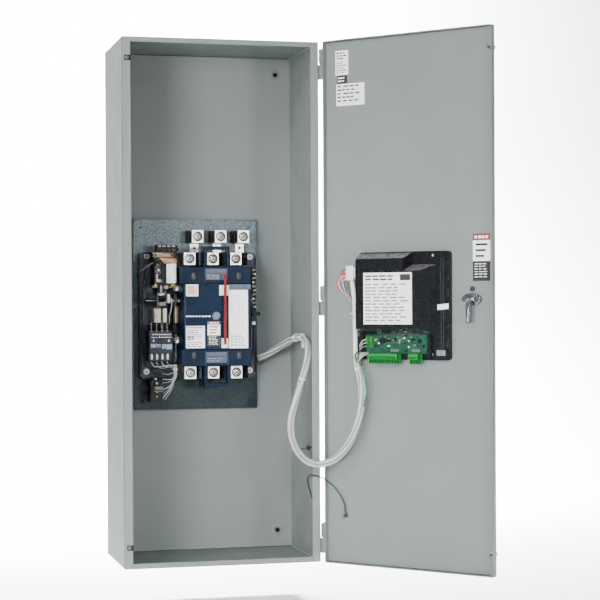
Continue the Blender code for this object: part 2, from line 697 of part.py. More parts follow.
def build_main_shaft():
    """Contact shaft with three moving contact arms and the crank that drives it."""
    origin = at(0.0, SHAFT_DEPTH, SHAFT_Z)
    shaft = rod("main_shaft", at(-0.1490, SHAFT_DEPTH, SHAFT_Z), at(0.1135, SHAFT_DEPTH, SHAFT_Z),
                SHAFT_RADIUS, origin=origin, sides=24)
    axis = Vector(origin)
    arms = []
    for x in POLE_X:
        arm = block("arm", (x - 0.008, x + 0.008), (axis.y, axis.y + 0.034),
                    (axis.z - 0.003, axis.z + 0.003), origin=origin)
        arm.rotation_euler.x = SHAFT_SWING
        arms.append(arm)
    crank = block("crank", (-0.1160, -0.1000), (axis.y - CRANK_RADIUS - 0.003, axis.y),
                  (axis.z - 0.005, axis.z + 0.005), origin=origin)
    crank_pin = rod("crank_pin", (-0.1215, axis.y - CRANK_RADIUS, axis.z),
                    (-0.1100, axis.y - CRANK_RADIUS, axis.z), 0.0022, origin=origin, sides=16)
    for piece in (crank, crank_pin):
        piece.rotation_euler.x = SHAFT_SWING
    finish(join(shaft, crank, crank_pin, *arms), "steel")


def build_solenoid():
    low, high = 0.0430, 0.1215
    frame = block("solenoid_frame", (-0.1290, -0.0740), depth(0.1950, BASE_DEPTH - GAP),
                  (low, high))
    inside = block("inside", (-0.14, -0.06), depth(0.1985, 0.2500), (low + 0.007, high - 0.009))
    left_open = block("left_open", (-0.14, -0.1107), depth(0.18, 0.2050),
                      (low - 0.01, high - 0.0091))
    core_hole = rod("core_hole", at(CORE_X, CORE_DEPTH, low - 0.02),
                    at(CORE_X, CORE_DEPTH, low + 0.02), 0.0070)
    finish(cut(frame, inside, left_open, core_hole), "brass")

    coil = rod("solenoid_coil", at(CORE_X, CORE_DEPTH, low + 0.007 + GAP),
               at(CORE_X, CORE_DEPTH, high - 0.009 - GAP), 0.0185, sides=28)
    bore = rod("bore", at(CORE_X, CORE_DEPTH, low), at(CORE_X, CORE_DEPTH, high - 0.0150), 0.0068)
    finish(cut(coil, bore), "copper_coil")

    origin = at(CORE_X, CORE_DEPTH, 0.040)
    core = rod("solenoid_core", at(CORE_X, CORE_DEPTH, 0.0260), at(CORE_X, CORE_DEPTH, 0.0880),
               0.0062, origin=origin)
    finish(core, "steel")
    build_drive_link(origin)


def build_drive_link(origin):
    """Clevis under the core, and the slotted side bar that the crank pin rides in."""
    pin_y = FRONT + SHAFT_DEPTH - CRANK_RADIUS * math.cos(SHAFT_SWING)
    pin_z = SHAFT_Z - CRANK_RADIUS * math.sin(SHAFT_SWING)
    core_y = FRONT + CORE_DEPTH
    yoke = block("drive_link", (-0.1225, -0.0985), (pin_y - 0.0070, core_y + 0.005),
                 (0.0185, 0.0257), origin=origin)
    side = block("side", (-0.1225, -0.1190), (pin_y - 0.0070, pin_y + 0.0075),
                 (pin_z - 0.0080, 0.0210))
    slot = block("slot", (-0.13, -0.11), (pin_y - 0.0045, pin_y + 0.0030),
                 (pin_z - 0.0027, pin_z + 0.0027))
    join(yoke, side)
    finish(cut(yoke, slot), "zinc")


def build_relay():
    relay = block("control_relay", (-0.1415, -0.0870), depth(0.2050, BASE_DEPTH - GAP),
                  (-0.1395, -0.0670), round_edges=0.001)
    raised = block("raised", (-0.1415, -0.0870), depth(0.1860, 0.2070), (-0.1190, -0.0800))
    pocket = block("pocket", (-0.1260, -0.1025), depth(0.17, 0.1960), (-0.1080, -0.0840))
    join(relay, raised)
    finish(cut(relay, pocket), "blue_cover")
    armature = block("relay_armature", (-0.1255, -0.1030), depth(0.1830, 0.1925),
                     (-0.1075, -0.0845), origin=at(-0.11425, 0.1830, -0.096))
    finish(armature, "white_nylon")


def build_terminal_strips():
    strip = block("terminal_strip", (-0.1190, -0.0715), depth(0.2120, 0.2400), (0.1218, 0.1350))
    teeth = []
    for i in range(5):
        x = -0.1180 + i * 0.0114
        teeth.append(block("tooth", (x - 0.0008, x + 0.0015), depth(0.2120, 0.2400),
                           (0.1340, 0.1405)))
    finish(join(strip, *teeth), "black_moulding")

    lower = block("relay_terminal_block", (-0.1340, -0.1040), depth(0.2280, PLATE_DEPTH - GAP),
                  (-0.2380, -0.1870))
    step = block("step", (-0.1340, -0.1040), depth(0.2180, 0.2300), (-0.2220, -0.1960))
    finish(join(lower, step), "black_moulding")


def build_aux_contacts():
    strip = block("aux_contact_block", (0.1150, 0.1275), depth(0.2270, BASE_DEPTH - GAP),
                  (-0.0540, 0.0870), round_edges=0.001)
    knob = rod("knob", at(0.1215, 0.2120, -0.0270), at(0.1215, 0.2290, -0.0270), 0.0052)
    finish(join(strip, knob), "black_moulding")


def build_indicator():
    """Round position indicator that turns in the main cover."""
    origin = at(INDICATOR_X, COVER_DEPTH, INDICATOR_Z)
    dial = rod("position_indicator", at(INDICATOR_X, 0.1485, INDICATOR_Z),
               at(INDICATOR_X, COVER_DEPTH - GAP, INDICATOR_Z), 0.0100, origin=origin, sides=32)
    stem = rod("stem", at(INDICATOR_X, 0.1530, INDICATOR_Z), at(INDICATOR_X, 0.1700, INDICATOR_Z),
               0.0034)
    finish(join(dial, stem), "clear_blue")


def build_maintenance_handle():
    """Red manual-operating rod, stored in two open clips on the main cover."""
    z_top, z_low = 0.0640, -0.0985
    handle = rod("maintenance_handle", at(HANDLE_X, HANDLE_DEPTH, z_low),
                 at(HANDLE_X + 0.0010, HANDLE_DEPTH, z_top), HANDLE_RADIUS,
                 origin=at(HANDLE_X, HANDLE_DEPTH, 0.0), sides=16)
    hook = rod("hook", at(HANDLE_X + 0.0018, HANDLE_DEPTH, z_top - 0.0030),
               at(HANDLE_X - 0.0040, HANDLE_DEPTH, z_top + 0.0060), HANDLE_RADIUS, sides=16)
    finish(join(handle, hook), "red_handle")
    for name, z in (("top", 0.0285), ("bottom", -0.0935)):
        clip = block("handle_clip_" + name, (HANDLE_X - 0.0062, HANDLE_X + 0.0068),
                     depth(0.1425, COVER_DEPTH - GAP), (z - 0.006, z + 0.006),
                     round_edges=0.001)
        channel = block("channel", (HANDLE_X - 0.0037, HANDLE_X + 0.0047),
                        depth(0.13, HANDLE_DEPTH + HANDLE_RADIUS + 0.0008), (z - 0.01, z + 0.01))
        finish(cut(clip, channel), "white_nylon")


# ---------------------------------------------------------------- assembly

def build_door_frame():
    frame = bpy.data.objects.new("door_axis", None)
    frame.location = (AXIS_X, AXIS_Y, 0.0)
    frame.rotation_euler.z = DOOR_OPEN
    PARTS.objects.link(frame)
    return frame


def main():
    door_frame = build_door_frame()
    build_cabinet()
    build_hinges(door_frame)
    build_door(door_frame)
    build_controller(door_frame)
    build_operator_panel(door_frame)
    build_switch()
    tube("harness", HARNESS_ROUTE, HARNESS_RADIUS, "grey_loom")
    tube("ground_wire", GROUND_ROUTE, GROUND_RADIUS, "green_wire")


clear_scene()
PARTS = make_collection("automatic_transfer_switch")
TOOLS = make_collection("cutters")
main()
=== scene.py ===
"""Looks of the automatic transfer switch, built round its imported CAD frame."""
import math
import random

import bmesh
import bpy
from mathutils import Matrix, Vector


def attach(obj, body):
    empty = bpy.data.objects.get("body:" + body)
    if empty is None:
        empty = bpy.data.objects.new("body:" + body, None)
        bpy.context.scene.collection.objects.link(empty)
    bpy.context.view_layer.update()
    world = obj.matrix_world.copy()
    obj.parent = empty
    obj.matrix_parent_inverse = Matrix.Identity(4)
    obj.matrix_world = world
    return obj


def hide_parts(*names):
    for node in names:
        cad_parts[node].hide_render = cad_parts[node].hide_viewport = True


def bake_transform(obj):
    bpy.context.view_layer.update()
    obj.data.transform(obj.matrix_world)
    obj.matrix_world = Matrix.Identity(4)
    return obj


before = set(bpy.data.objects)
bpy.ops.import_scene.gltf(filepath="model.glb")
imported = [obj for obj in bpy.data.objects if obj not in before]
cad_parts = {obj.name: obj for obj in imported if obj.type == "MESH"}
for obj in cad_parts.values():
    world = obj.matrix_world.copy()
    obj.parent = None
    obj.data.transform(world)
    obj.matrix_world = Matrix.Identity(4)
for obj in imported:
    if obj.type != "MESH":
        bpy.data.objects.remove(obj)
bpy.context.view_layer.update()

RNG = random.Random(7)

# ---------------------------------------------------------------- frames of reference
# In both frames a runs right, b up and c out of the face, towards a viewer. In the
# cabinet's frame c is 0 at the front, so a depth inside the cabinet is negative c.
# In the door's frame a is 0 at the hinge-side edge, and c is 0 at the inner face.
FRONT_Y = -0.295
DOOR_TURN = math.radians(-50.0)
HINGE = Vector((0.237, -0.301, 0.0))
ALONG = Vector((math.cos(DOOR_TURN), math.sin(DOOR_TURN), 0.0))
UP = Vector((0.0, 0.0, 1.0))
OUT = ALONG.cross(UP)


def axes(origin, right, up, out):
    return Matrix((
        (right.x, up.x, out.x, origin.x),
        (right.y, up.y, out.y, origin.y),
        (right.z, up.z, out.z, origin.z),
        (0.0, 0.0, 0.0, 1.0),
    ))


CABINET = axes(Vector((0.0, FRONT_Y, 0.0)), Vector((1, 0, 0)), UP, Vector((0, -1, 0)))
DOOR = axes(HINGE + ALONG * 0.006 - OUT * 0.008, ALONG, UP, OUT)
OUTSIDE = axes(HINGE + ALONG * 0.4645 - OUT * 0.010, -ALONG, UP, -OUT)
RIGHT_WALL = axes(Vector((0.229, FRONT_Y, 0.0)), Vector((0, -1, 0)), UP, Vector((-1, 0, 0)))


# ---------------------------------------------------------------- camera, light and floor
def build_camera():
    data = bpy.data.cameras.new("camera")
    data.sensor_width = 36.0
    data.lens = 112.918
    data.shift_x = -0.10
    data.shift_y = 0.0397
    data.clip_end = 60.0
    camera = bpy.data.objects.new("camera", data)
    right = Vector((0.965196, -0.261483, -0.004931))
    forward = Vector((0.261431, 0.965178, -0.009265))
    up = Vector((0.007182, 0.007653, 0.999945))
    camera.matrix_world = axes(Vector((-0.83194, -4.57968, -0.01015)), right, up, -forward)
    bpy.context.scene.collection.objects.link(camera)
    bpy.context.scene.camera = camera


# Name, place, aim, size, watts and spread in degrees.
LIGHTS = (
    ("key", (-3.05, -5.0, 0.4), (0.05, 0.0, -0.05), (1.5, 1.5), 318.0),
    ("fill", (1.6, -5.6, 0.2), (0.05, 0.0, -0.05), (0.6, 0.6), 95.0),
    ("rim", (0.95, 3.0, 2.7), (0.35, -0.45, 0.1), (1.4, 0.8), 10.0),
    ("side", (-3.6, -2.9, 2.2), (0.22, -0.12, -0.05), (0.5, 0.5), 3.2, 25.0),
    ("low", (-0.6, -4.8, 1.5), (0.20, -0.1, -0.80), (0.5, 0.5), 4.5, 30.0),
    ("backdrop_light", (0.0, 1.9, 3.4), (0.0, 4.0, 0.1), (2.2, 1.0), 1500.0, 100.0),
    ("floor_light", (0.0, 1.9, 3.4), (0.0, 1.9, -0.7), (1.6, 1.0), 700.0, 90.0),
)
AMBIENT = 0.30
FLOOR_Z = -0.72
STAGE_HALF_WIDTH = 12.0
FLOOR_NEAR, FLOOR_FAR = -9.0, 0.4
SWEEP_START, SWEEP_RADIUS = 2.4, 1.6
BACKDROP_TOP = 7.0


def soft_light(name, location, target, size, energy, spread=180.0):
    """A rectangular area light, aimed at a point."""
    data = bpy.data.lights.new(name, "AREA")
    data.shape = "RECTANGLE"
    data.size = size[0]
    data.size_y = size[1]
    data.energy = energy
    data.spread = math.radians(spread)
    light = bpy.data.objects.new(name, data)
    light.location = location
    aim = Vector(target) - Vector(location)
    light.rotation_euler = aim.to_track_quat("-Z", "Y").to_euler()
    bpy.context.scene.collection.objects.link(light)


def build_stage():
    world = bpy.data.worlds.new("studio")
    world.use_nodes = True
    background = world.node_tree.nodes["Background"]
    background.inputs["Color"].default_value = (1.0, 1.0, 1.0, 1.0)
    background.inputs["Strength"].default_value = AMBIENT
    bpy.context.scene.world = world

    for row in LIGHTS:
        soft_light(*row)

    mat = bpy.data.materials.new("floor")
    mat.use_nodes = True
    shader = mat.node_tree.nodes["Principled BSDF"]
    shader.inputs["Base Color"].default_value = (0.94, 0.94, 0.94, 1.0)
    shader.inputs["Roughness"].default_value = 0.9
    sheet("floor", [(FLOOR_NEAR, 0.0), (FLOOR_FAR, 0.0)], mat)
    curve = [(SWEEP_START + SWEEP_RADIUS * math.sin(t), SWEEP_RADIUS - SWEEP_RADIUS * math.cos(t))
             for t in [math.radians(a) for a in range(0, 91, 6)]]
    top = (SWEEP_START + SWEEP_RADIUS, BACKDROP_TOP)
    backdrop = sheet("backdrop", [(FLOOR_FAR, 0.0)] + curve + [top], mat)
    backdrop.visible_glossy = False


def sheet(name, profile, mat):
    """A wide sheet of the stage that follows a profile in y and z."""
    bm = bmesh.new()
    sides = (-STAGE_HALF_WIDTH, STAGE_HALF_WIDTH)
    rows = [[bm.verts.new((x, y, z + FLOOR_Z)) for y, z in profile] for x in sides]
    for i in range(len(profile) - 1):
        bm.faces.new((rows[0][i], rows[1][i], rows[1][i + 1], rows[0][i + 1]))
    mesh = bpy.data.meshes.new(name)
    bm.to_mesh(mesh)
    bm.free()
    mesh.shade_smooth()
    mesh.materials.append(mat)
    made = bpy.data.objects.new(name, mesh)
    bpy.context.scene.collection.objects.link(made)
    return made


# ---------------------------------------------------------------- materials
def srgb(r, g, b):
    """A colour given as 0 to 255 display values, as linear light."""
    def linear(v):
        v = v / 255.0
        return v / 12.92 if v <= 0.04045 else ((v + 0.055) / 1.055) ** 2.4
    return (linear(r), linear(g), linear(b), 1.0)


class Finish:
    """Builds one procedural material round a Principled shader."""

    def __init__(self, name, roughness, metallic=0.0, coat=0.0, coat_roughness=0.1,
                 specular=0.5):
        self.mat = bpy.data.materials.new(name)
        self.mat.use_nodes = True
        self.tree = self.mat.node_tree
        self.shader = self.tree.nodes["Principled BSDF"]
        self.shader.inputs["Roughness"].default_value = roughness
        self.shader.inputs["Metallic"].default_value = metallic
        self.shader.inputs["Coat Weight"].default_value = coat
        self.shader.inputs["Coat Roughness"].default_value = coat_roughness
        self.shader.inputs["Specular IOR Level"].default_value = specular
        self.coords = self.tree.nodes.new("ShaderNodeTexCoord").outputs["Object"]
        self.height = None

    def link(self, a, b):
        self.tree.links.new(a, b)

    def scaled(self, stretch):
        node = self.tree.nodes.new("ShaderNodeMapping")
        node.inputs["Scale"].default_value = stretch
        self.link(self.coords, node.inputs["Vector"])
        return node.outputs["Vector"]

    def noise(self, scale, detail=3.0, rough=0.55, stretch=None):
        node = self.tree.nodes.new("ShaderNodeTexNoise")
        node.inputs["Scale"].default_value = scale
        node.inputs["Detail"].default_value = detail
        node.inputs["Roughness"].default_value = rough
        self.link(self.scaled(stretch) if stretch else self.coords, node.inputs["Vector"])
        return node.outputs["Fac"]

    def cells(self, scale, feature="F1", stretch=None, output="Distance"):
        node = self.tree.nodes.new("ShaderNodeTexVoronoi")
        node.feature = feature
        node.inputs["Scale"].default_value = scale
        self.link(self.scaled(stretch) if stretch else self.coords, node.inputs["Vector"])
        return node.outputs[output]

    def bands(self, scale, direction="X", distortion=0.0, profile="SIN"):
        node = self.tree.nodes.new("ShaderNodeTexWave")
        node.bands_direction = direction
        node.wave_profile = profile
        node.inputs["Scale"].default_value = scale
        node.inputs["Distortion"].default_value = distortion
        self.link(self.coords, node.inputs["Vector"])
        return node.outputs["Fac"]

    def ramp(self, value, stops):
        node = self.tree.nodes.new("ShaderNodeValToRGB")
        elements = node.color_ramp.elements
        while len(elements) < len(stops):
            elements.new(0.5)
        for element, (position, colour) in zip(elements, stops):
            element.position = position
            element.color = colour
        self.link(value, node.inputs["Fac"])
        return node.outputs["Color"]

    def mixed(self, factor, a, b, blend="MIX"):
        node = self.tree.nodes.new("ShaderNodeMix")
        node.data_type = "RGBA"
        node.blend_type = blend
        for socket, value in ((node.inputs[0], factor), (node.inputs[6], a), (node.inputs[7], b)):
            if isinstance(value, bpy.types.NodeSocket):
                self.link(value, socket)
            else:
                socket.default_value = value
        return node.outputs[2]

    def ranged(self, value, low, high, start=0.3, end=0.7):
        node = self.tree.nodes.new("ShaderNodeMapRange")
        node.inputs["From Min"].default_value = start
        node.inputs["From Max"].default_value = end
        node.inputs["To Min"].default_value = low
        node.inputs["To Max"].default_value = high
        self.link(value, node.inputs["Value"])
        return node.outputs["Result"]

    def colour(self, socket):
        self.link(socket, self.shader.inputs["Base Color"])
        return self

    def roughness(self, value, low, high, start=0.3, end=0.7):
        self.link(self.ranged(value, low, high, start, end), self.shader.inputs["Roughness"])
        return self

    def bump(self, value, distance, strength=1.0):
        node = self.tree.nodes.new("ShaderNodeBump")
        node.inputs["Strength"].default_value = strength
        node.inputs["Distance"].default_value = distance
        self.link(value, node.inputs["Height"])
        if self.height is not None:
            self.link(self.height, node.inputs["Normal"])
        self.height = node.outputs["Normal"]
        self.link(self.height, self.shader.inputs["Normal"])
        return self


def shade(colour, factor):
    return (colour[0] * factor, colour[1] * factor, colour[2] * factor, 1.0)


def enamel(name, colour, rough=0.46):
    """Baked enamel: fine orange peel, faint cloudiness and a few handling marks."""
    f = Finish(name, rough, specular=0.12)
    cloud = f.ramp(f.noise(3.2, 4.0), [(0.25, shade(colour, 0.93)), (0.75, shade(colour, 1.05))])
    marks = f.ranged(f.noise(38.0, 6.0, 0.7, (1.0, 1.0, 0.25)), 0.0, 0.16, 0.60, 0.80)
    f.colour(f.mixed(marks, cloud, shade(colour, 0.78)))
    f.roughness(f.noise(11.0, 4.0), rough - 0.06, rough + 0.10)
    f.bump(f.noise(420.0, 2.0), 0.00006, 0.35)
    f.bump(f.noise(55.0, 2.0), 0.0002, 0.10)
    return f.mat


def plastic(name, colour, rough=0.38, coat=0.0, grain=1100.0, vary=0.12, specular=0.5,
            patchy=1.0):
    """Moulded plastic: fine grain, slight flow marks and dust in patches."""
    f = Finish(name, rough, coat=coat, coat_roughness=0.08, specular=specular)
    base = f.ramp(f.noise(24.0, 3.0), [(0.25, shade(colour, 1 - vary)),
                                       (0.75, shade(colour, 1 + vary))])
    dust = f.ranged(f.noise(60.0, 6.0, 0.7), 0.0, 0.03, 0.62, 0.85)
    f.colour(f.mixed(dust, base, (0.45, 0.45, 0.43, 1.0)))
    f.roughness(f.noise(45.0, 4.0), max(0.05, rough - 0.06 * patchy), rough + 0.12 * patchy)
    f.bump(f.noise(grain, 2.0), 0.00004, 0.30)
    return f.mat


def gloss_with_painted_highlight(name, colour):
    """Glossy moulding with a painted highlight: pale grey on whatever faces up, for the reflection of
    the light overhead.
    """
    f = Finish(name, 0.26, coat=0.15, coat_roughness=0.08, specular=0.35)
    base = f.ramp(f.noise(24.0, 3.0), [(0.25, shade(colour, 0.94)), (0.75, shade(colour, 1.06))])
    # Painted highlight: faces that look up are mixed towards pale grey.
    geometry = f.tree.nodes.new("ShaderNodeNewGeometry")
    split = f.tree.nodes.new("ShaderNodeSeparateXYZ")
    f.link(geometry.outputs["Normal"], split.inputs["Vector"])
    facing = f.ranged(split.outputs["Z"], 0.0, 1.0, 0.55, 0.90)
    drift = f.ramp(f.noise(60.0, 4.0), [(0.3, srgb(84, 84, 86)), (0.7, srgb(112, 110, 110))])
    f.colour(f.mixed(facing, base, drift))
    f.roughness(f.noise(45.0, 3.0), 0.26, 0.29)
    f.bump(f.noise(500.0, 2.0), 0.00001, 0.15)
    return f.mat


def metal(name, colour, rough=0.28, brushed=(1.0, 1.0, 12.0), dull=0.65, fleck=900.0):
    """Bare or plated metal: drawn grain, tarnish in patches and dulled spots."""
    f = Finish(name, rough, metallic=1.0)
    tarnish = f.ramp(f.noise(32.0, 5.0), [(0.3, shade(colour, dull)), (0.62, colour)])
    specks = f.ranged(f.noise(380.0, 4.0, 0.7), 0.0, 0.4, 0.58, 0.80)
    f.colour(f.mixed(specks, tarnish, shade(colour, dull * 0.8)))
    grain = f.noise(fleck, 3.0, 0.6, brushed)
    f.roughness(grain, rough * 0.75, rough * 1.55)
    f.bump(grain, 0.00003, 0.35)
    return f.mat


def spangled(name):
    """Zinc-coated steel: fine drawn grain over small crystals, with painted light that brightens it
    towards its top.
    """
    f = Finish(name, 0.45, metallic=0.6)
    crystals = f.cells(520.0, output="Color")
    bright = f.ramp(crystals, [(0.15, srgb(74, 86, 90)), (0.55, srgb(96, 107, 111)),
                               (0.9, srgb(124, 134, 138))])
    streaks = f.ranged(f.noise(300.0, 4.0, 0.75, (0.35, 1.0, 2.4)), 0.0, 0.55, 0.46, 0.70)
    grained = f.mixed(streaks, bright, srgb(44, 54, 58))
    # Painted light: the colour is multiplied by a gradient in height, dim at the bottom and white at
    # the top.
    split = f.tree.nodes.new("ShaderNodeSeparateXYZ")
    f.link(f.coords, split.inputs["Vector"])
    height = f.ranged(split.outputs["Z"], 0.0, 1.0, -0.20, 0.20)
    painted_light = f.ramp(height, [(0.0, srgb(88, 104, 108)), (0.30, srgb(120, 138, 142)),
                           (0.66, srgb(170, 192, 198)), (0.85, srgb(255, 255, 255))])
    f.colour(f.mixed(1.0, grained, painted_light, "MULTIPLY"))
    f.roughness(f.noise(260.0, 3.0), 0.38, 0.62)
    f.bump(f.noise(420.0, 4.0, 0.7, (0.5, 1.0, 2.0)), 0.00012, 0.5)
    return f.mat


def circuit_board(name):
    """Green solder mask with lighter tracks and small plated holes."""
    f = Finish(name, 0.30, coat=0.4, coat_roughness=0.15)
    edges = f.cells(150.0, "DISTANCE_TO_EDGE", (1.0, 1.0, 1.3))
    tracks = f.ranged(edges, 0.75, 0.0, 0.03, 0.09)
    mask = f.ramp(f.noise(70.0, 2.0), [(0.3, srgb(0, 42, 34)), (0.7, srgb(2, 62, 46))])
    lined = f.mixed(tracks, mask, srgb(6, 88, 62))
    pads = f.ranged(f.cells(330.0), 0.9, 0.0, 0.10, 0.16)
    f.colour(f.mixed(pads, lined, srgb(90, 120, 92)))
    f.roughness(f.noise(90.0, 2.0), 0.22, 0.42)
    f.bump(edges, 0.0002, 0.3)
    return f.mat


def winding(name):
    """A taped coil: dark varnish over close turns."""
    f = Finish(name, 0.35, coat=0.25, coat_roughness=0.2)
    turns = f.bands(190.0, "Z", 0.6)
    f.colour(f.ramp(turns, [(0.2, srgb(8, 7, 9)), (0.8, srgb(46, 40, 44))]))
    f.roughness(f.noise(80.0, 3.0), 0.25, 0.5)
    f.bump(turns, 0.0004, 0.6)
    return f.mat


def printed(name, colour, rough=0.42):
    """Label stock: nearly flat, with faint mottling and a few soiled patches."""
    f = Finish(name, rough, coat=0.2, coat_roughness=0.25)
    mottled = f.ramp(f.noise(140.0, 3.0), [(0.3, shade(colour, 0.94)), (0.7, shade(colour, 1.0))])
    soiled = f.ranged(f.noise(35.0, 5.0, 0.7), 0.0, 0.14, 0.60, 0.85)
    f.colour(f.mixed(soiled, mottled, shade(colour, 0.6)))
    f.roughness(f.noise(60.0, 2.0), rough - 0.06, rough + 0.1)
    f.bump(f.noise(160.0, 2.0), 0.00005, 0.3)
    return f.mat


def insulation(name, colour, rough=0.36):
    f = Finish(name, rough, coat=0.15, coat_roughness=0.3)
    f.colour(f.ramp(f.noise(120.0, 4.0), [(0.3, shade(colour, 0.86)), (0.7, colour)]))
    f.roughness(f.noise(90.0, 3.0), rough - 0.05, rough + 0.14)
    f.bump(f.noise(240.0, 2.0), 0.0001, 0.25)
    return f.mat


def threaded(name):
    f = Finish(name, 0.30, metallic=1.0)
    f.colour(f.ramp(f.noise(200.0, 3.0), [(0.3, srgb(110, 112, 115)), (0.7, srgb(200, 201, 203))]))
    f.roughness(f.noise(300.0, 3.0), 0.2, 0.5)
    f.bump(f.bands(450.0, "Z"), 0.0002, 0.5)
    return f.mat


def iridescent_foil(name):
    """Pale foil label whose tint drifts between lilac, cyan and cream."""
    f = Finish(name, 0.3, metallic=0.25, coat=0.3, coat_roughness=0.2)
    drift = f.noise(60.0, 3.0, 0.6, (1.0, 1.0, 0.6))
    f.colour(f.ramp(drift, [(0.30, srgb(208, 176, 206)), (0.44, srgb(226, 226, 222)),
                            (0.56, srgb(168, 206, 214)), (0.70, srgb(232, 222, 196))]))
    f.roughness(f.noise(90.0, 2.0), 0.22, 0.42)
    f.bump(f.noise(200.0, 2.0), 0.00005, 0.3)
    return f.mat


class Look:
    """The materials, made once."""
    paint = enamel("enamel_grey", srgb(118, 125, 124))
    leaf = enamel("enamel_hinge", srgb(108, 114, 113), 0.4)
    plate = spangled("spangled_zinc")
    base = plastic("base_moulding", srgb(39, 46, 56), 0.36, 0.0, specular=0.22)
    cover = plastic("cover_moulding", srgb(8, 27, 47), 0.34, 0.0, vary=0.10, specular=0.07)
    end_cover = plastic("end_cover_moulding", srgb(11, 27, 46), 0.36, 0.0, vary=0.10, specular=0.08)
    # The controller's moulding, with a painted highlight on faces that look up.
    glossy = gloss_with_painted_highlight("controller_gloss", srgb(12, 15, 18))
    black = plastic("black_moulding", srgb(10, 11, 13), 0.42, specular=0.22)
    lug = metal("lug_aluminium", srgb(222, 220, 214), 0.32, (8.0, 1.0, 1.0), 0.80)
    steel = metal("bright_steel", srgb(205, 206, 205), 0.24, (1.0, 6.0, 1.0))
    zinc = metal("bright_zinc", srgb(178, 188, 194), 0.30, (1.0, 1.0, 6.0))
    dark_steel = metal("dark_steel", srgb(96, 98, 102), 0.36, (1.0, 4.0, 1.0), 0.55)
    brass = metal("plated_brass", srgb(120, 108, 90), 0.34, (8.0, 1.0, 1.0), 0.55)
    copper = metal("copper_strap", srgb(158, 126, 96), 0.36, (1.0, 1.0, 8.0), 0.7)
    coil = winding("coil_tape")
    red = plastic("red_grip", srgb(126, 12, 20), 0.35, 0.1, vary=0.14, specular=0.3)
    dial = plastic("dial_blue", srgb(40, 70, 98), 0.16, 0.6, vary=0.1)
    nylon = plastic("white_nylon", srgb(226, 226, 220), 0.42, vary=0.04)
    cream = plastic("cream_moulding", srgb(214, 208, 186), 0.42, vary=0.08)
    tan = plastic("tan_ceramic", srgb(138, 122, 92), 0.55, vary=0.2)
    brown = plastic("brown_ceramic", srgb(84, 66, 44), 0.5, vary=0.2)
    green = plastic("terminal_green", srgb(26, 120, 46), 0.38, vary=0.10, specular=0.25)
    board = circuit_board("solder_mask")
    white_label = printed("label_white", srgb(255, 255, 254))
    pink_label = printed("label_pink", srgb(236, 196, 192))
    blue_label = printed("label_blue", srgb(136, 152, 184))
    red_label = printed("label_red", srgb(122, 34, 42))
    black_label = printed("label_black", srgb(16, 16, 17), 0.5)
    ink = printed("label_ink", srgb(34, 36, 42), 0.5)
    faint_ink = printed("label_faint_ink", srgb(112, 112, 118), 0.5)
    white_wire = insulation("wire_white", srgb(192, 198, 194))
    grey_wire = insulation("wire_grey", srgb(132, 140, 138))
    pink_wire = insulation("wire_pink", srgb(196, 182, 180))
    red_wire = insulation("wire_red", srgb(196, 30, 48))
    green_wire = insulation("wire_green", srgb(4, 112, 78))
    black_wire = insulation("wire_black", srgb(20, 22, 24))
    dark_green_wire = insulation("wire_dark_green", srgb(6, 32, 32))
    thread = threaded("screw_thread")
    # Painted shade: a darker copy of the enamel, laid along folds, lips and the gaps by the hinges.
    paint_shadow = enamel("enamel_shadow", srgb(62, 68, 68), 0.5)
    # Painted highlight: a lighter copy of the enamel, for weld beads and a lit strip on the crank.
    paint_highlight = enamel("enamel_painted_highlight", srgb(160, 167, 165), 0.4)
    white_paint = plastic("white_moulding", srgb(232, 232, 228), 0.4, vary=0.04)
    pale_cream = plastic("pale_cream_moulding", srgb(226, 222, 206), 0.42, vary=0.06)
    # Painted highlight: a lighter copy of the base moulding, for its ribs, rims and strips.
    base_highlight = plastic("base_edge_moulding", srgb(50, 58, 66), 0.36, vary=0.10, specular=0.3)
    # Painted highlight: a lighter copy of the cover moulding, for its lit edges.
    cover_highlight = plastic("end_cover_painted_highlight", srgb(62, 84, 112), 0.30, vary=0.10, specular=0.2)
    # Painted shade: a darker copy of the terminal green, for the shade between terminals and round
    # their screws.
    green_shade = plastic("terminal_green_edge", srgb(8, 84, 36), 0.40, vary=0.10, specular=0.25)
    pale_green = plastic("pale_green_moulding", srgb(96, 116, 108), 0.42, vary=0.20)
    panel_grey = printed("label_panel_grey", srgb(80, 86, 88))
    plate_label = printed("label_plate", srgb(38, 54, 78))
    plate_ink = printed("label_plate_ink", srgb(104, 122, 156), 0.5)
    rose_ink = printed("label_rose_ink", srgb(186, 84, 96), 0.5)
    iridescent = iridescent_foil("label_foil")
    display = plastic("display_window", srgb(44, 58, 50), 0.14, 0.6, vary=0.06)
    red_lamp = plastic("lamp_red", srgb(168, 38, 34), 0.2, 0.6)
    green_lamp = plastic("lamp_green", srgb(44, 140, 60), 0.2, 0.6)
    gold = metal("gold_strip", srgb(186, 160, 104), 0.36, (1.0, 1.0, 8.0), 0.6)
    faint_metal = metal("dull_tin", srgb(150, 152, 150), 0.36, (1.0, 4.0, 1.0), 0.6)
    tan_metal = metal("aged_brass", srgb(176, 150, 110), 0.36, (1.0, 4.0, 1.0), 0.6)
    relay = plastic("relay_moulding", srgb(14, 26, 44), 0.34, vary=0.10, specular=0.25)
    silver_label = printed("label_silver", srgb(132, 136, 142))
    iron = metal("dark_iron", srgb(74, 72, 70), 0.38, (1.0, 4.0, 1.0), 0.5)
    chrome = metal("polished_chrome", srgb(176, 182, 188), 0.16, (1.0, 4.0, 1.0), 0.45)
    tape = plastic("coil_tag", srgb(116, 124, 130), 0.5, vary=0.2)
    clear_sleeve = plastic("sleeve_clear", srgb(206, 212, 214), 0.22, 0.5, vary=0.06)
    tan_wire = insulation("wire_tan", srgb(190, 164, 134))
    blue_wire = insulation("wire_blue", srgb(26, 38, 56))


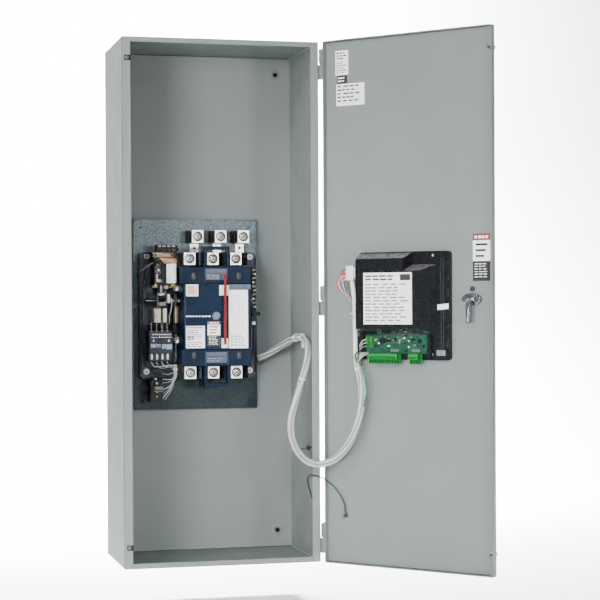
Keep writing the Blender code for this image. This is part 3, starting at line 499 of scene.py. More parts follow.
# ---------------------------------------------------------------- geometry
class Piece:
    """Gathers shapes in one frame of reference into one object that rides on a body."""

    def __init__(self, name, place, body, slot=None, angle=38.0):
        self.name, self.place, self.body, self.slot = name, place, body, slot
        self.angle = angle
        self.bm = bmesh.new()
        self.mats = []

    def add(self, bm, mat):
        if mat not in self.mats:
            self.mats.append(mat)
        index = self.mats.index(mat)
        for face in bm.faces:
            face.material_index = index
        mesh = bpy.data.meshes.new("part")
        bm.to_mesh(mesh)
        bm.free()
        self.bm.from_mesh(mesh)
        bpy.data.meshes.remove(mesh)
        return self

    def box(self, a, b, c, mat, bevel=0.0004, segments=2, turn=0.0):
        """A block, with its edges rounded, turned by an angle about its own c axis."""
        size = Vector((a[1] - a[0], b[1] - b[0], c[1] - c[0]))
        middle = Vector(((a[0] + a[1]) / 2, (b[0] + b[1]) / 2, (c[0] + c[1]) / 2))
        bm = bmesh.new()
        bmesh.ops.create_cube(bm, size=1.0)
        bmesh.ops.scale(bm, verts=bm.verts, vec=size)
        bevel = min(bevel, 0.45 * min(abs(size.x), abs(size.y), abs(size.z)))
        if bevel > 0:
            bmesh.ops.bevel(bm, geom=bm.edges, offset=bevel, segments=segments, profile=0.5,
                            affect="EDGES")
        bm.transform(Matrix.Translation(middle) @ Matrix.Rotation(turn, 4, "Z"))
        return self.add(bm, mat)

    def prism(self, outline, c, mat, bevel=0.0004, segments=2, top=None):
        """A block with any outline in a and b, and another at its top if it tapers."""
        bm = bmesh.new()
        low = [bm.verts.new((p[0], p[1], c[0])) for p in outline]
        high = [bm.verts.new((p[0], p[1], c[1])) for p in (top or outline)]
        bm.faces.new(low)
        bm.faces.new(high)
        for i in range(len(low)):
            j = (i + 1) % len(low)
            bm.faces.new((low[i], low[j], high[j], high[i]))
        bmesh.ops.recalc_face_normals(bm, faces=bm.faces)
        if bevel:
            bmesh.ops.bevel(bm, geom=bm.edges, offset=bevel, segments=segments, profile=0.5,
                            affect="EDGES")
        return self.add(bm, mat)

    def turned(self, profile, origin, mat, axis=(0, 0, 1), sides=24, spin=0.0, hollow=False):
        """A turned shape, or a ring if hollow. A profile entry is radius, height and an outline."""
        bm = bmesh.new()
        rings = []
        for entry in profile:
            radius, height = entry[0], entry[1]
            outline = entry[2] if len(entry) > 2 else round_outline
            if radius <= 1e-9:
                rings.append([bm.verts.new((0, 0, height))])
                continue
            ring = []
            for k in range(sides):
                angle = 2 * math.pi * k / sides
                r = radius * outline(angle)
                ring.append(bm.verts.new((r * math.cos(angle + spin), r * math.sin(angle + spin),
                                          height)))
            rings.append(ring)
        pairs = list(zip(rings, rings[1:]))
        if hollow:
            pairs.append((rings[-1], rings[0]))
        for low, high in pairs:
            for k in range(sides):
                n = (k + 1) % sides
                if len(low) == 1 and len(high) == 1:
                    continue
                if len(low) == 1:
                    bm.faces.new((low[0], high[n], high[k]))
                elif len(high) == 1:
                    bm.faces.new((low[k], low[n], high[0]))
                else:
                    bm.faces.new((low[k], low[n], high[n], high[k]))
        for ring in (rings[0], rings[-1]):
            if len(ring) > 1 and not hollow:
                bm.faces.new(ring)
        bmesh.ops.recalc_face_normals(bm, faces=bm.faces)
        turn = Vector(axis).to_track_quat("Z", "Y").to_matrix().to_4x4()
        bm.transform(Matrix.Translation(Vector(origin)) @ turn)
        return self.add(bm, mat)

    def rod(self, start, end, radius, mat, sides=16, bevel=0.0003, end_radius=None):
        start, end = Vector(start), Vector(end)
        length = (end - start).length
        r2 = radius if end_radius is None else end_radius
        bevel = min(bevel, radius * 0.4, r2 * 0.4, length * 0.4)
        profile = [(0, 0), (radius - bevel, 0), (radius, bevel), (r2, length - bevel),
                   (r2 - bevel, length), (0, length)]
        return self.turned(profile, start, mat, end - start, sides)

    def wire(self, points, radius, mat, sides=10, spacing=2.0):
        """A round wire along a smooth curve through the points, with rounded ends."""
        route = smooth_route(points, radius * spacing)
        bm = bmesh.new()
        rings = []
        for centre, side, up in moving_frame(route):
            ring = []
            for k in range(sides):
                angle = 2 * math.pi * k / sides
                ring.append(bm.verts.new(centre + (side * math.cos(angle) + up * math.sin(angle))
                                         * radius))
            rings.append(ring)
        for low, high in zip(rings, rings[1:]):
            for k in range(sides):
                n = (k + 1) % sides
                bm.faces.new((low[k], low[n], high[n], high[k]))
        bm.faces.new(rings[0])
        bm.faces.new(rings[-1])
        bmesh.ops.recalc_face_normals(bm, faces=bm.faces)
        return self.add(bm, mat)

    def done(self):
        self.bm.transform(self.place)
        if self.place.determinant() < 0:
            bmesh.ops.reverse_faces(self.bm, faces=self.bm.faces)
        mesh = bpy.data.meshes.new(self.name)
        self.bm.to_mesh(mesh)
        self.bm.free()
        for mat in self.mats:
            mesh.materials.append(mat)
        mesh.shade_smooth()
        mesh.set_sharp_from_angle(angle=math.radians(self.angle))
        obj = bpy.data.objects.new(self.name, mesh)
        bpy.context.scene.collection.objects.link(obj)
        if self.body:
            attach(obj, self.body)
        return obj


def round_outline(angle):
    return 1.0


def hex_outline(angle):
    """A hexagon whose corners are at radius 1."""
    return math.cos(math.pi / 6) / math.cos((angle + math.pi / 6) % (math.pi / 3) - math.pi / 6)


def cross_outline(angle):
    """A cross recess: four arms, a quarter as wide as they are long."""
    local = (angle + math.pi / 4) % (math.pi / 2) - math.pi / 4
    narrow = 0.28
    if abs(math.tan(local)) <= narrow:
        return 1.0 / math.cos(local)
    return narrow / abs(math.sin(local))


def slot_outline(angle):
    narrow = 0.16
    local = (angle + math.pi / 2) % math.pi - math.pi / 2
    if abs(math.tan(local)) <= narrow:
        return 1.0 / max(0.3, math.cos(local))
    return narrow / abs(math.sin(local))


def smooth_route(points, step):
    """Points spaced about a step apart on a Catmull-Rom curve through the given points."""
    points = [Vector(p) for p in points]
    first = points[0] * 2 - points[1]
    last = points[-1] * 2 - points[-2]
    ends = [first] + points + [last]
    fine = []
    for i in range(len(points) - 1):
        p0, p1, p2, p3 = ends[i:i + 4]
        for k in range(24):
            t = k / 24
            fine.append(0.5 * (2 * p1 + (p2 - p0) * t + (2 * p0 - 5 * p1 + 4 * p2 - p3) * t ** 2
                               + (3 * p1 - p0 - 3 * p2 + p3) * t ** 3))
    fine.append(points[-1])
    length = sum((b - a).length for a, b in zip(fine, fine[1:]))
    count = max(4, round(length / step))
    route = [fine[0]]
    walked = 0.0
    for a, b in zip(fine, fine[1:]):
        walked += (b - a).length
        if walked >= len(route) * length / count and len(route) < count:
            route.append(b)
    route.append(fine[-1])
    return route


def moving_frame(route):
    """Each point of a route with two directions across it that turn as little as they can."""
    frames = []
    tangent = (route[1] - route[0]).normalized()
    side = tangent.orthogonal().normalized()
    for i, point in enumerate(route):
        ahead = route[min(i + 1, len(route) - 1)] - route[max(i - 1, 0)]
        new = ahead.normalized()
        side = tangent.rotation_difference(new) @ side
        side = (side - new * side.dot(new)).normalized()
        tangent = new
        frames.append((point, side, new.cross(side)))
    return frames


def path_length(route):
    return sum((b - a).length for a, b in zip(route, route[1:]))


# ---------------------------------------------------------------- screws and labels
def pan_screw(piece, a, b, c, radius, mat=None, recess=cross_outline, spin=0.4):
    """A domed screw head, seated at c, with a recess."""
    mat = mat or Look.zinc
    h = radius * 0.55
    piece.turned([
        (0, h * 0.25), (radius * 0.42, h * 0.25, recess), (radius * 0.5, h * 0.97, recess),
        (radius * 0.72, h * 0.85), (radius * 0.93, h * 0.5), (radius, h * 0.12), (radius, 0),
    ], (a, b, c), mat, spin=spin)


def hex_bolt(piece, a, b, c, radius, mat=None, washer=1.35, spin=0.2):
    """A hexagon head on a plain washer."""
    mat = mat or Look.zinc
    h = radius * 0.62
    piece.turned([(radius * washer, 0), (radius * washer, h * 0.16), (radius * 0.6, h * 0.17)],
                 (a, b, c), mat, sides=32)
    piece.turned([
        (radius, h * 0.17, hex_outline), (radius, h * 0.95, hex_outline),
        (radius * 0.86, h * 1.1), (radius * 0.55, h * 1.1), (0, h * 1.05),
    ], (a, b, c), mat, spin=spin)


def text_bars(piece, a, b, c, rows, mat, height=0.5, fill=0.8, ragged=0.35, words=3):
    """Rows of short bars that stand for print, with no lettering."""
    left, right = a
    low, high = b
    pitch = (high - low) / rows
    for row in range(rows):
        top = high - row * pitch - pitch * (1 - height) / 2
        reach = (right - left) * (1 - ragged * RNG.random()) * fill
        start = left
        for _ in range(words):
            width = reach / words * (0.6 + 0.32 * RNG.random())
            piece.box((start, start + width), (top - pitch * height, top), (c, c + 0.00008), mat,
                      bevel=0.0)
            start += reach / words


def sticker(piece, a, b, c, mat, radius=0.001, thick=0.00025):
    outline = rounded(a, b, radius)
    piece.prism(outline, (c, c + thick), mat, bevel=0.00006, segments=1)
    return c + thick


def rounded(a, b, radius, steps=4):
    points = []
    corners = (((a[1] - radius, b[1] - radius), 0.0), ((a[0] + radius, b[1] - radius), 90.0),
               ((a[0] + radius, b[0] + radius), 180.0), ((a[1] - radius, b[0] + radius), 270.0))
    for (x, y), start in corners:
        for k in range(steps + 1):
            angle = math.radians(start + 90.0 * k / steps)
            points.append((x + radius * math.cos(angle), y + radius * math.sin(angle)))
    return points


# ---------------------------------------------------------------- cords
HARNESS_RADIUS = 0.0085
HARNESS_ROUTE = [
    (0.1390, -0.0270, -0.1365), (0.1550, -0.0300, -0.1300), (0.1723, -0.0390, -0.1205),
    (0.1940, -0.0640, -0.1040), (0.2085, -0.1003, -0.0902), (0.2160, -0.1434, -0.0838),
    (0.2188, -0.1863, -0.0861), (0.2188, -0.2208, -0.1000), (0.2150, -0.2397, -0.1267),
    (0.2059, -0.2448, -0.1633), (0.1934, -0.2422, -0.2040), (0.1813, -0.2390, -0.2437),
    (0.1729, -0.2410, -0.2812), (0.1721, -0.2552, -0.3176), (0.1803, -0.2815, -0.3499),
    (0.1968, -0.3125, -0.3712), (0.2204, -0.3415, -0.3756), (0.2463, -0.3655, -0.3635),
    (0.2684, -0.3837, -0.3385), (0.2854, -0.3960, -0.3043), (0.2969, -0.4023, -0.2644),
    (0.3029, -0.4029, -0.2224), (0.3030, -0.3978, -0.1820), (0.2972, -0.3868, -0.1466),
    (0.2954, -0.3838, -0.1303),
]
GROUND_RADIUS = 0.0016
GROUND_ROUTE = [
    (0.2250, -0.2640, -0.5050), (0.2235, -0.2635, -0.4880), (0.2200, -0.2625, -0.4690),
    (0.2150, -0.2610, -0.4500), (0.2095, -0.2615, -0.4310), (0.2062, -0.2690, -0.4155),
    (0.2065, -0.2820, -0.4070), (0.2095, -0.2955, -0.4045), (0.2185, -0.3060, -0.4060),
    (0.2310, -0.3165, -0.4105), (0.2425, -0.3285, -0.4195), (0.2545, -0.3425, -0.4335),
    (0.2665, -0.3480, -0.4520), (0.2750, -0.3465, -0.4690), (0.2776, -0.3441, -0.4848),
]
WIRES = 9
WIRE_SHARE = 0.255
TWIST = 1.35


def bundle_radius(angle):
    """Outline of a ring of touching wires, as a share of the bundle's radius."""
    step = 2 * math.pi / WIRES
    local = (angle + step / 2) % step - step / 2
    reach = 1.0 - WIRE_SHARE
    inside = WIRE_SHARE ** 2 - (reach * math.sin(local)) ** 2
    return reach * math.cos(local) + math.sqrt(max(inside, 0.0))


def build_harness():
    """The wiring harness: a lightly twisted bundle of white, grey and pink wires."""
    route = smooth_route(HARNESS_ROUTE, 0.0052)
    sides = WIRES * 8
    bm = bmesh.new()
    rings = []
    walked = 0.0
    total = path_length(route)
    shares = []
    for i, (centre, side, up) in enumerate(moving_frame(route)):
        if i:
            walked += (route[i] - route[i - 1]).length
        share = walked / total
        shares.append(share)
        spin = 2 * math.pi * TWIST * share + 0.12 * math.sin(17.0 * share)
        ring = []
        for k in range(sides):
            angle = 2 * math.pi * k / sides
            r = HARNESS_RADIUS * bundle_radius(angle)
            ring.append(bm.verts.new(centre + (side * math.cos(angle + spin)
                                               + up * math.sin(angle + spin)) * r))
        rings.append(ring)
    looks = [Look.white_wire, Look.grey_wire, Look.white_wire, Look.grey_wire, Look.pink_wire,
             Look.white_wire, Look.grey_wire, Look.white_wire, Look.grey_wire]
    mats = [Look.white_wire, Look.grey_wire, Look.pink_wire, Look.green_wire]
    for i in range(len(rings) - 1):
        for k in range(sides):
            n = (k + 1) % sides
            face = bm.faces.new((rings[i][k], rings[i][n], rings[i + 1][n], rings[i + 1][k]))
            wire = ((k + 4) // 8) % WIRES
            face.material_index = mats.index(looks[wire])
    for ring in (rings[0], rings[-1]):
        bm.faces.new(ring)
    bmesh.ops.recalc_face_normals(bm, faces=bm.faces)
    mesh = bpy.data.meshes.new("wiring_harness")
    bm.to_mesh(mesh)
    bm.free()
    for mat in mats:
        mesh.materials.append(mat)
    mesh.shade_smooth()
    obj = bpy.data.objects.new("wiring_harness", mesh)
    bpy.context.scene.collection.objects.link(obj)
    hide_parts("harness")
    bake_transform(obj)
    return route


def build_ground_wire():
    piece = Piece("door_ground_wire", Matrix.Identity(4), None, "ground_wire")
    piece.wire(GROUND_ROUTE, GROUND_RADIUS, Look.dark_green_wire, sides=12)
    obj = piece.done()
    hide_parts("ground_wire")
    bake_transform(obj)




# ---------------------------------------------------------------- cabinet details
def span(name, place):
    """A CAD node's extent along a, b and c of a frame of reference."""
    inverse = place.inverted()
    points = [inverse @ vert.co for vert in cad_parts[name].data.vertices]
    return [(min(p[i] for p in points), max(p[i] for p in points)) for i in range(3)]


def middle(pair):
    return (pair[0] + pair[1]) / 2


BACK_WALL = -0.293
WALL_HOLE = (0.192, 0.566)
BASE_FACE = -0.255
PLATE_FACE = -0.2818


def build_cabinet_details():
    """Dimpled wall holes filled with black plugs that stand for the shade inside them, folded seams
    with painted shade and weld beads in a painted highlight, and corner gussets.
    """
    (left, right), (low, high), _ = span("cabinet_shell", CABINET)
    dimples = Piece("wall_hole_dimples", CABINET, "cabinet", "cabinet_shell")
    shade_plugs = Piece("wall_hole_plugs", CABINET, "cabinet", "cabinet_shell")
    for a in (-WALL_HOLE[0], WALL_HOLE[0]):
        for b in (-WALL_HOLE[1], WALL_HOLE[1]):
            dimples.turned([(0.0135, 0), (0.0122, 0.0010), (0.0100, 0.0016), (0.0078, 0.0012),
                            (0.0058, 0.0002)], (a, b, BACK_WALL), Look.paint, sides=40)
            dimples.turned([(0.0110, 0.0010), (0.0106, 0.0020), (0.0078, 0.0020), (0.0070, 0.0010)],
                           (a, b, BACK_WALL), Look.leaf, sides=40, hollow=True)
            # Black plugs fill the holes: painted shade for the dark seen through them.
            shade_plugs.turned([(0.0056, 0.0003), (0.0056, 0.0014), (0.0046, 0.0022),
                          (0.0030, 0.0022, slot_outline), (0.0029, 0.0012, slot_outline),
                          (0, 0.0012)], (a, b, BACK_WALL), Look.black, spin=0.3)
    dimples.done()
    shade_plugs.done()

    # A dark strip of painted shade along the fold at the left edge.
    fold = Piece("cabinet_fold_line", CABINET, "cabinet", "cabinet_shell")
    fold.box((left, left + 0.0008), (low + 0.001, high - 0.001), (-0.0003, 0.0001), Look.paint_shadow,
             bevel=0)
    fold.done()

    seams = Piece("cabinet_seams", CABINET, "cabinet", "cabinet_shell")
    # Along each lip: a dark rod of painted shade, short dark lines of painted shade at the flange
    # corners, and weld beads in a painted highlight.
    for sign in (1, -1):
        edge = sign * (high - 0.0022)
        lip = sorted((edge, edge - sign * 0.0085))
        seams.box((left + 0.004, right - 0.004), lip, (BACK_WALL, BACK_WALL + 0.0014), Look.paint)
        seams.rod((left + 0.004, edge - sign * 0.0008, BACK_WALL + 0.0022),
                  (right - 0.004, edge - sign * 0.0008, BACK_WALL + 0.0022), 0.0011, Look.paint_shadow)
        for side in (left + 0.0195, right - 0.0195):
            seams.box((side - 0.0004, side + 0.0004), sorted((sign * high, sign * (high - 0.0125))),
                      (-0.0001, 0.00012), Look.paint_shadow, bevel=0)
        seams.rod((right - 0.0034, edge - sign * 0.0012, BACK_WALL + 0.006),
                  (right - 0.0034, edge - sign * 0.0012, -0.010), 0.0013, Look.paint_highlight)
        seams.rod((left + 0.0034, edge - sign * 0.0012, BACK_WALL + 0.006),
                  (left + 0.0034, edge - sign * 0.0012, -0.010), 0.0013, Look.paint_highlight)
    seams.done()

    gussets = Piece("corner_gussets", RIGHT_WALL, "cabinet", "cabinet_shell")
    for sign in (1, -1):
        outline = [(-0.286, sign * 0.6062), (-0.030, sign * 0.6062), (-0.030, sign * 0.5730),
                   (-0.286, sign * 0.6030)]
        gussets.prism(outline, (0.0, 0.0012), Look.paint, bevel=0.0003)
    # A slanting strip of painted shade across the right wall.
    gussets.prism([(-0.262, -0.3650), (-0.066, -0.3425), (-0.066, -0.3455), (-0.262, -0.3680)],
                  (0.0, 0.0010), Look.paint_shadow, bevel=0.0003)
    for a, b in ((-0.250, -0.3630), (-0.110, -0.3480)):
        gussets.box((a - 0.012, a + 0.012), (b - 0.006, b + 0.004), (0.0, 0.0030), Look.black)
    gussets.done()

    for name in ("clip_nut_top", "clip_nut_bottom"):
        a, b, c = span(name, CABINET)
        nut = Piece(name + "_thread", CABINET, "cabinet", name)
        nut.turned([(0.0036, -0.0004), (0.0036, 0.0003), (0.0034, 0.0006), (0.0030, 0.0006),
                    (0.0028, -0.0004)], (-0.2195, middle(b), c[1]), Look.lug, hollow=True)
        nut.done()


def band(piece, centre, direction, radius, width, mat, thick=0.0011):
    """A strap once round a bundle."""
    piece.turned([(radius - 0.001, -width / 2), (radius + thick, -width / 2 + 0.0003),
                  (radius + thick, width / 2 - 0.0003), (radius - 0.001, width / 2)],
                 centre, mat, axis=direction, sides=28)


def build_harness_ties(route):
    """Cable ties that hold the bundle to the cabinet and, at its other end, to the door."""
    for name, body, picks in (("cabinet_harness_ties", "cabinet", (0.165, 0.215, 0.37)),
                              ("door_harness_ties", "door", (0.972,))):
        ties = Piece(name, Matrix.Identity(4), body, "harness_tie_mount")
        for share in picks:
            i = round(share * (len(route) - 1))
            direction = (route[i + 1] - route[i - 1]).normalized()
            band(ties, route[i], direction, HARNESS_RADIUS, 0.0032, Look.nylon)
            side = direction.cross(UP).normalized()
            head = route[i] + side * (HARNESS_RADIUS + 0.0022)
            ties.rod(head - direction * 0.0025, head + direction * 0.0025, 0.0024, Look.nylon,
                     sides=4)
            ties.rod(head, head + side.lerp(direction, 0.4).normalized() * 0.009, 0.0010,
                     Look.nylon, sides=6)
        ties.done()


# ---------------------------------------------------------------- switch details
def build_plate_details():
    (left, right), (low, high), _ = span("switch_mounting_plate", CABINET)
    piece = Piece("plate_fixings", CABINET, "cabinet", "switch_mounting_plate")
    for a in (left + 0.020, right - 0.020):
        for b in (low + 0.020, high - 0.020):
            pan_screw(piece, a, b, PLATE_FACE, 0.0042, Look.plate)
    piece.box((left, right), (high - 0.0035, high), (PLATE_FACE, PLATE_FACE + 0.0006), Look.plate)
    piece.box((left, left + 0.0035), (low, -0.012), (PLATE_FACE, PLATE_FACE + 0.0006), Look.plate)
    piece.box((left, left + 0.0035), (0.006, high), (PLATE_FACE, PLATE_FACE + 0.0006), Look.plate)
    piece.done()


def build_base_details():
    """Rim and ribs of the moulded base, its four bolts, and fins beside the lugs."""
    (left, right), (low, high), _ = span("switch_base", CABINET)
    low, high = max(low, -0.184), min(high, 0.124)
    trim = Piece("base_mouldings", CABINET, "cabinet", "switch_base")
    rim, top = 0.0042, BASE_FACE + 0.0042
    round_in = 0.013
    trim.box((left + 0.0003, left + rim), (low + round_in, high - round_in), (BASE_FACE, top),
             Look.black)
    trim.box((right - rim, right - 0.0003), (low + round_in, high - round_in), (BASE_FACE, top),
             Look.black)
    trim.box((left + round_in, -0.070), (high - rim, high - 0.0003), (BASE_FACE, top), Look.black)
    trim.box((left + round_in, -0.058), (low + 0.0003, low + rim), (BASE_FACE, top), Look.black)
    # A lighter strip and, below, lighter ribs down the left rim: painted highlights.
    trim.box((left + 0.0068, left + 0.0080), (low + 0.020, high - 0.028), (BASE_FACE, top - 0.001),
             Look.base_highlight)
    trim.box((-0.0722, -0.0704), (-0.186, 0.114), (BASE_FACE, BASE_FACE + 0.014), Look.black)
    for k in range(11):
        b = low + 0.034 + k * 0.0215
        trim.box((left + 0.0090, left + 0.0135), (b, b + 0.0012), (BASE_FACE, BASE_FACE + 0.003),
                 Look.base_highlight)
    gaps = ((-0.0255, -0.0125, 4), (0.0315, 0.0425, 3), (0.0880, 0.1030, 4))
    for a0, a1, count in gaps:
        for k in range(count):
            a = a0 + (a1 - a0) * k / (count - 1)
            for b0, b1 in ((0.0915, 0.1220), (-0.1830, -0.1530)):
                trim.box((a - 0.0006, a + 0.0006), (b0, b1), (BASE_FACE, -0.216), Look.black)
        # Lighter bars across the gaps: painted highlights.
        for b in (0.1005, 0.1130, -0.1640, -0.1750):
            trim.box((a0, a1), (b, b + 0.0014), (BASE_FACE, -0.222), Look.base_highlight)
    trim.done()

    bolts = Piece("base_bolts", CABINET, "cabinet", "switch_base")
    for spin, (a, b) in enumerate(((-0.1375, 0.114), (0.118, 0.113), (-0.1395, -0.166),
                                   (0.1165, -0.166))):
        # A black ring round each washer: painted shade at its edge.
        bolts.turned([(0.0092, -0.0004), (0.0092, 0.0003), (0.0078, 0.0004), (0.0078, -0.0004)],
                     (a, b, BASE_FACE), Look.black, sides=32, hollow=True)
        hex_bolt(bolts, a, b, BASE_FACE, 0.0054, Look.faint_metal, spin=0.3 * spin)
        bolts.turned([(0.0026, 0.0028), (0.0026, 0.0040), (0.0020, 0.0044), (0, 0.0036)],
                     (a, b, BASE_FACE), Look.dark_steel)
    for a, b in ((-0.064, 0.036), (-0.063, -0.090)):
        bolts.turned([(0.0080, 0), (0.0080, 0.0170), (0.0070, 0.0182), (0.0046, 0.0182),
                      (0.0040, 0.0172, slot_outline), (0.0038, 0.0160, slot_outline),
                      (0, 0.0160)], (a - 0.0045, b, BASE_FACE), Look.lug, spin=0.9)
    bolts.done()


def set_screw(piece, a, b, c, spin):
    """A lug's clamping screw in its countersunk hole, with a hexagonal socket; the black rings are
    painted shade of the hole's wall and of the gap round the screw, and the black hexagon is painted
    shade in the socket.
    """
    piece.turned([(0.0116, -0.0004), (0.0116, 0.0008), (0.0086, 0.0008), (0.0086, -0.0004)],
                 (a, b, c), Look.black, sides=40, hollow=True)
    piece.turned([(0.0087, -0.0004), (0.0087, 0.0002), (0.0084, 0.0004), (0, 0.0004)], (a, b, c),
                 Look.lug, sides=36)
    piece.turned([(0.0068, 0.0002), (0.0068, 0.0009), (0.0050, 0.0009), (0.0050, 0.0002)],
                 (a, b, c), Look.black, sides=36, hollow=True)
    piece.turned([(0.0051, 0.0002), (0.0051, 0.0008), (0.0046, 0.0010), (0, 0.0010)], (a, b, c),
                 Look.lug, sides=36)
    piece.turned([(0.0030, 0.0004, hex_outline), (0.0030, 0.0012, hex_outline), (0, 0.0012)],
                 (a, b, c), Look.black, sides=36, spin=spin)


def build_lug_screws():
    lugs = [name for name in sorted(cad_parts) if "_lug_" in name]
    for i, name in enumerate(lugs):
        a, b, c = span(name, CABINET)
        tanged = name.startswith("load")
        middle_b = 0.1615 if tanged else middle(b)
        piece = Piece(name + "_screw", CABINET, "cabinet", name)
        set_screw(piece, middle(a), middle_b, c[1], 0.37 * i)
        if tanged:
            pan_screw(piece, middle(a), 0.1352, -0.2755, 0.0033, Look.dark_steel)
            piece.box((a[0] - 0.0068, a[0] - 0.0050), (b[0] + 0.024, b[1] - 0.001),
                      (PLATE_FACE, -0.236), Look.black)
            piece.box((a[0] - 0.0050, a[0] - 0.0005), (b[0] + 0.026, b[1] - 0.003),
                      (PLATE_FACE, -0.262), Look.black)
        piece.done()


def build_cover_details():
    """Bar screws on black ovals that paint the shade of their wells, raised name plates without names,
    and labels.
    """
    face = span("upper_cover", CABINET)[2][1]
    for name, rows, plate_b in (("upper_cover", (0.064, 0.0645), (0.055, 0.082)),
                                ("lower_cover", (-0.1255, -0.1265), (-0.144, -0.118))):
        screws = Piece(name + "_screws", CABINET, "cabinet", name)
        for a, b in zip((-0.038, 0.072), rows):
            # The black oval is painted shade of the screw's well; the lighter oval inside it is a
            # painted highlight.
            well = rounded((a - 0.0062, a + 0.0062), (b - 0.0098, b + 0.0098), 0.0060, 6)
            screws.prism(well, (face - 0.0001, face + 0.0006), Look.black, bevel=0.0003)
            inner = rounded((a - 0.0050, a + 0.0050), (b - 0.0085, b + 0.0085), 0.0049, 6)
            screws.prism(inner, (face + 0.0004, face + 0.0008), Look.base_highlight, bevel=0.0002)
            pan_screw(screws, a, b + 0.0016, face + 0.0007, 0.0032, Look.dark_steel, slot_outline)
        screws.done()
        plate = Piece(name + "_plate", CABINET, "cabinet", name)
        top = sticker(plate, (-0.0085, 0.0420), plate_b, face, Look.plate_label)
        plate.box((-0.0070, 0.0405), (plate_b[1] - 0.0115, plate_b[1] - 0.0095),
                  (top, top + 0.00008), Look.black_label, bevel=0)
        text_bars(plate, (-0.0060, 0.0390), (plate_b[0] + 0.002, plate_b[0] + 0.013), top + 0.0001,
                  2, Look.silver_label if name == "upper_cover" else Look.plate_ink, 0.26, 0.9, 0.4)
        # Thin lighter bars either side of the name plate: painted highlights.
        for a in (-0.0105, 0.0442):
            plate.box((a - 0.0004, a + 0.0004), (plate_b[0] - 0.008, plate_b[1] + 0.002),
                      (face - 0.0001, face + 0.0005), Look.cover_highlight)
        plate.done()
    build_cover_labels()


def build_cover_labels():
    (left, right), (low, high), c = span("main_cover", CABINET)
    face = c[1]
    trim = Piece("main_cover_trim", CABINET, "cabinet", "main_cover")
    # Thin lighter strips along the cover's top, bottom and left edges: painted highlights.
    for b in (high - 0.0009, low + 0.0003):
        trim.box((left + 0.001, right - 0.001), (b, b + 0.0006), (face - 0.0004, face + 0.0003),
                 Look.cover_highlight)
    trim.box((left + 0.0026, left + 0.0034), (low + 0.003, high - 0.003), (face - 0.0001,
             face + 0.0004), Look.cover_highlight)
    trim.done()

    labels = Piece("main_cover_labels", CABINET, "cabinet", "main_cover")
    top = sticker(labels, (-0.0587, -0.0294), (0.016, 0.044), face, Look.white_label)
    top = sticker(labels, (-0.0560, -0.0321), (0.0187, 0.0413), top, Look.pink_label)
    text_bars(labels, (-0.0540, -0.0340), (0.0205, 0.0395), top, 5, Look.rose_ink, 0.5, 0.95)
    top = sticker(labels, (-0.0593, -0.0138), (-0.108, -0.055), face, Look.white_label)
    text_bars(labels, (-0.0560, -0.0170), (-0.0610, -0.0572), top, 1, Look.ink, 0.75, 0.98, 0.0, 5)
    text_bars(labels, (-0.0560, -0.0170), (-0.0860, -0.0640), top, 5, Look.faint_ink, 0.5, 0.95)
    text_bars(labels, (-0.0560, -0.0300), (-0.0900, -0.0790), top, 2, Look.ink, 0.55, 0.8)
    text_bars(labels, (-0.0560, -0.0170), (-0.1060, -0.0930), top, 3, Look.faint_ink, 0.5, 0.95)
    build_notice(labels, (-0.0073, 0.0237), (-0.104, -0.044), face, 0.135, 0.56)
    top = sticker(labels, (0.0450, 0.0915), (-0.109, 0.031), face, Look.white_label)
    build_diagram(labels, (0.0450, 0.0915), (-0.109, 0.031), top)
    sticker(labels, (0.0430, 0.0988), (0.0328, 0.0444), face, Look.plate_label)
    text_bars(labels, (0.0460, 0.0960), (0.0345, 0.0430), face + 0.00025, 2, Look.ink, 0.5, 0.98)
    text_bars(labels, (-0.0590, 0.0012), (-0.0345, -0.0295), face, 1, Look.white_label, 0.55, 1.0,
              0.0, 8)
    labels.done()

    clips = Piece("handle_clip_pads", CABINET, "cabinet", "handle_clip_top")
    clips.box((0.0215, 0.0452), (0.0180, 0.0425), (face, face + 0.0018), Look.nylon)
    clips.box((0.0262, 0.0430), (-0.1082, -0.0850), (face, face + 0.0018), Look.nylon)
    clips.done()


def build_notice(piece, a, b, c, band_share, dark_from):
    """A plain notice: a red strip, a white field and a dark field with light bars."""
    tall = b[1] - b[0]
    red = b[1] - tall * band_share
    dark = b[1] - tall * dark_from
    top = sticker(piece, a, b, c, Look.white_label)
    piece.box(a, (red, b[1]), (top, top + 0.00008), Look.red_label, bevel=0)
    text_bars(piece, (a[0] + 0.004, a[1] - 0.003), (red + 0.001, b[1] - 0.001), top + 0.00008, 1,
              Look.white_label, 0.5, 1.0, 0.0, 4)
    inset = (b[1] - b[0]) * 0.03
    wide = a[1] - a[0]
    for k in range(3):
        y = red - inset * 2.2 - k * (red - dark) / 3.6
        piece.box((a[0] + wide * 0.16, a[1] - wide * (0.16 + 0.1 * k)),
                  (y - inset * 1.5, y), (top, top + 0.00008), Look.black_label, bevel=0)
    piece.box(a, (b[0], dark), (top, top + 0.00008), Look.black_label, bevel=0)
    text_bars(piece, (a[0] + wide * 0.1, a[1] - wide * 0.1), (b[0] + inset * 2, dark - inset),
              top + 0.00008, 6, Look.white_label, 0.3, 1.0, 0.25, 3)


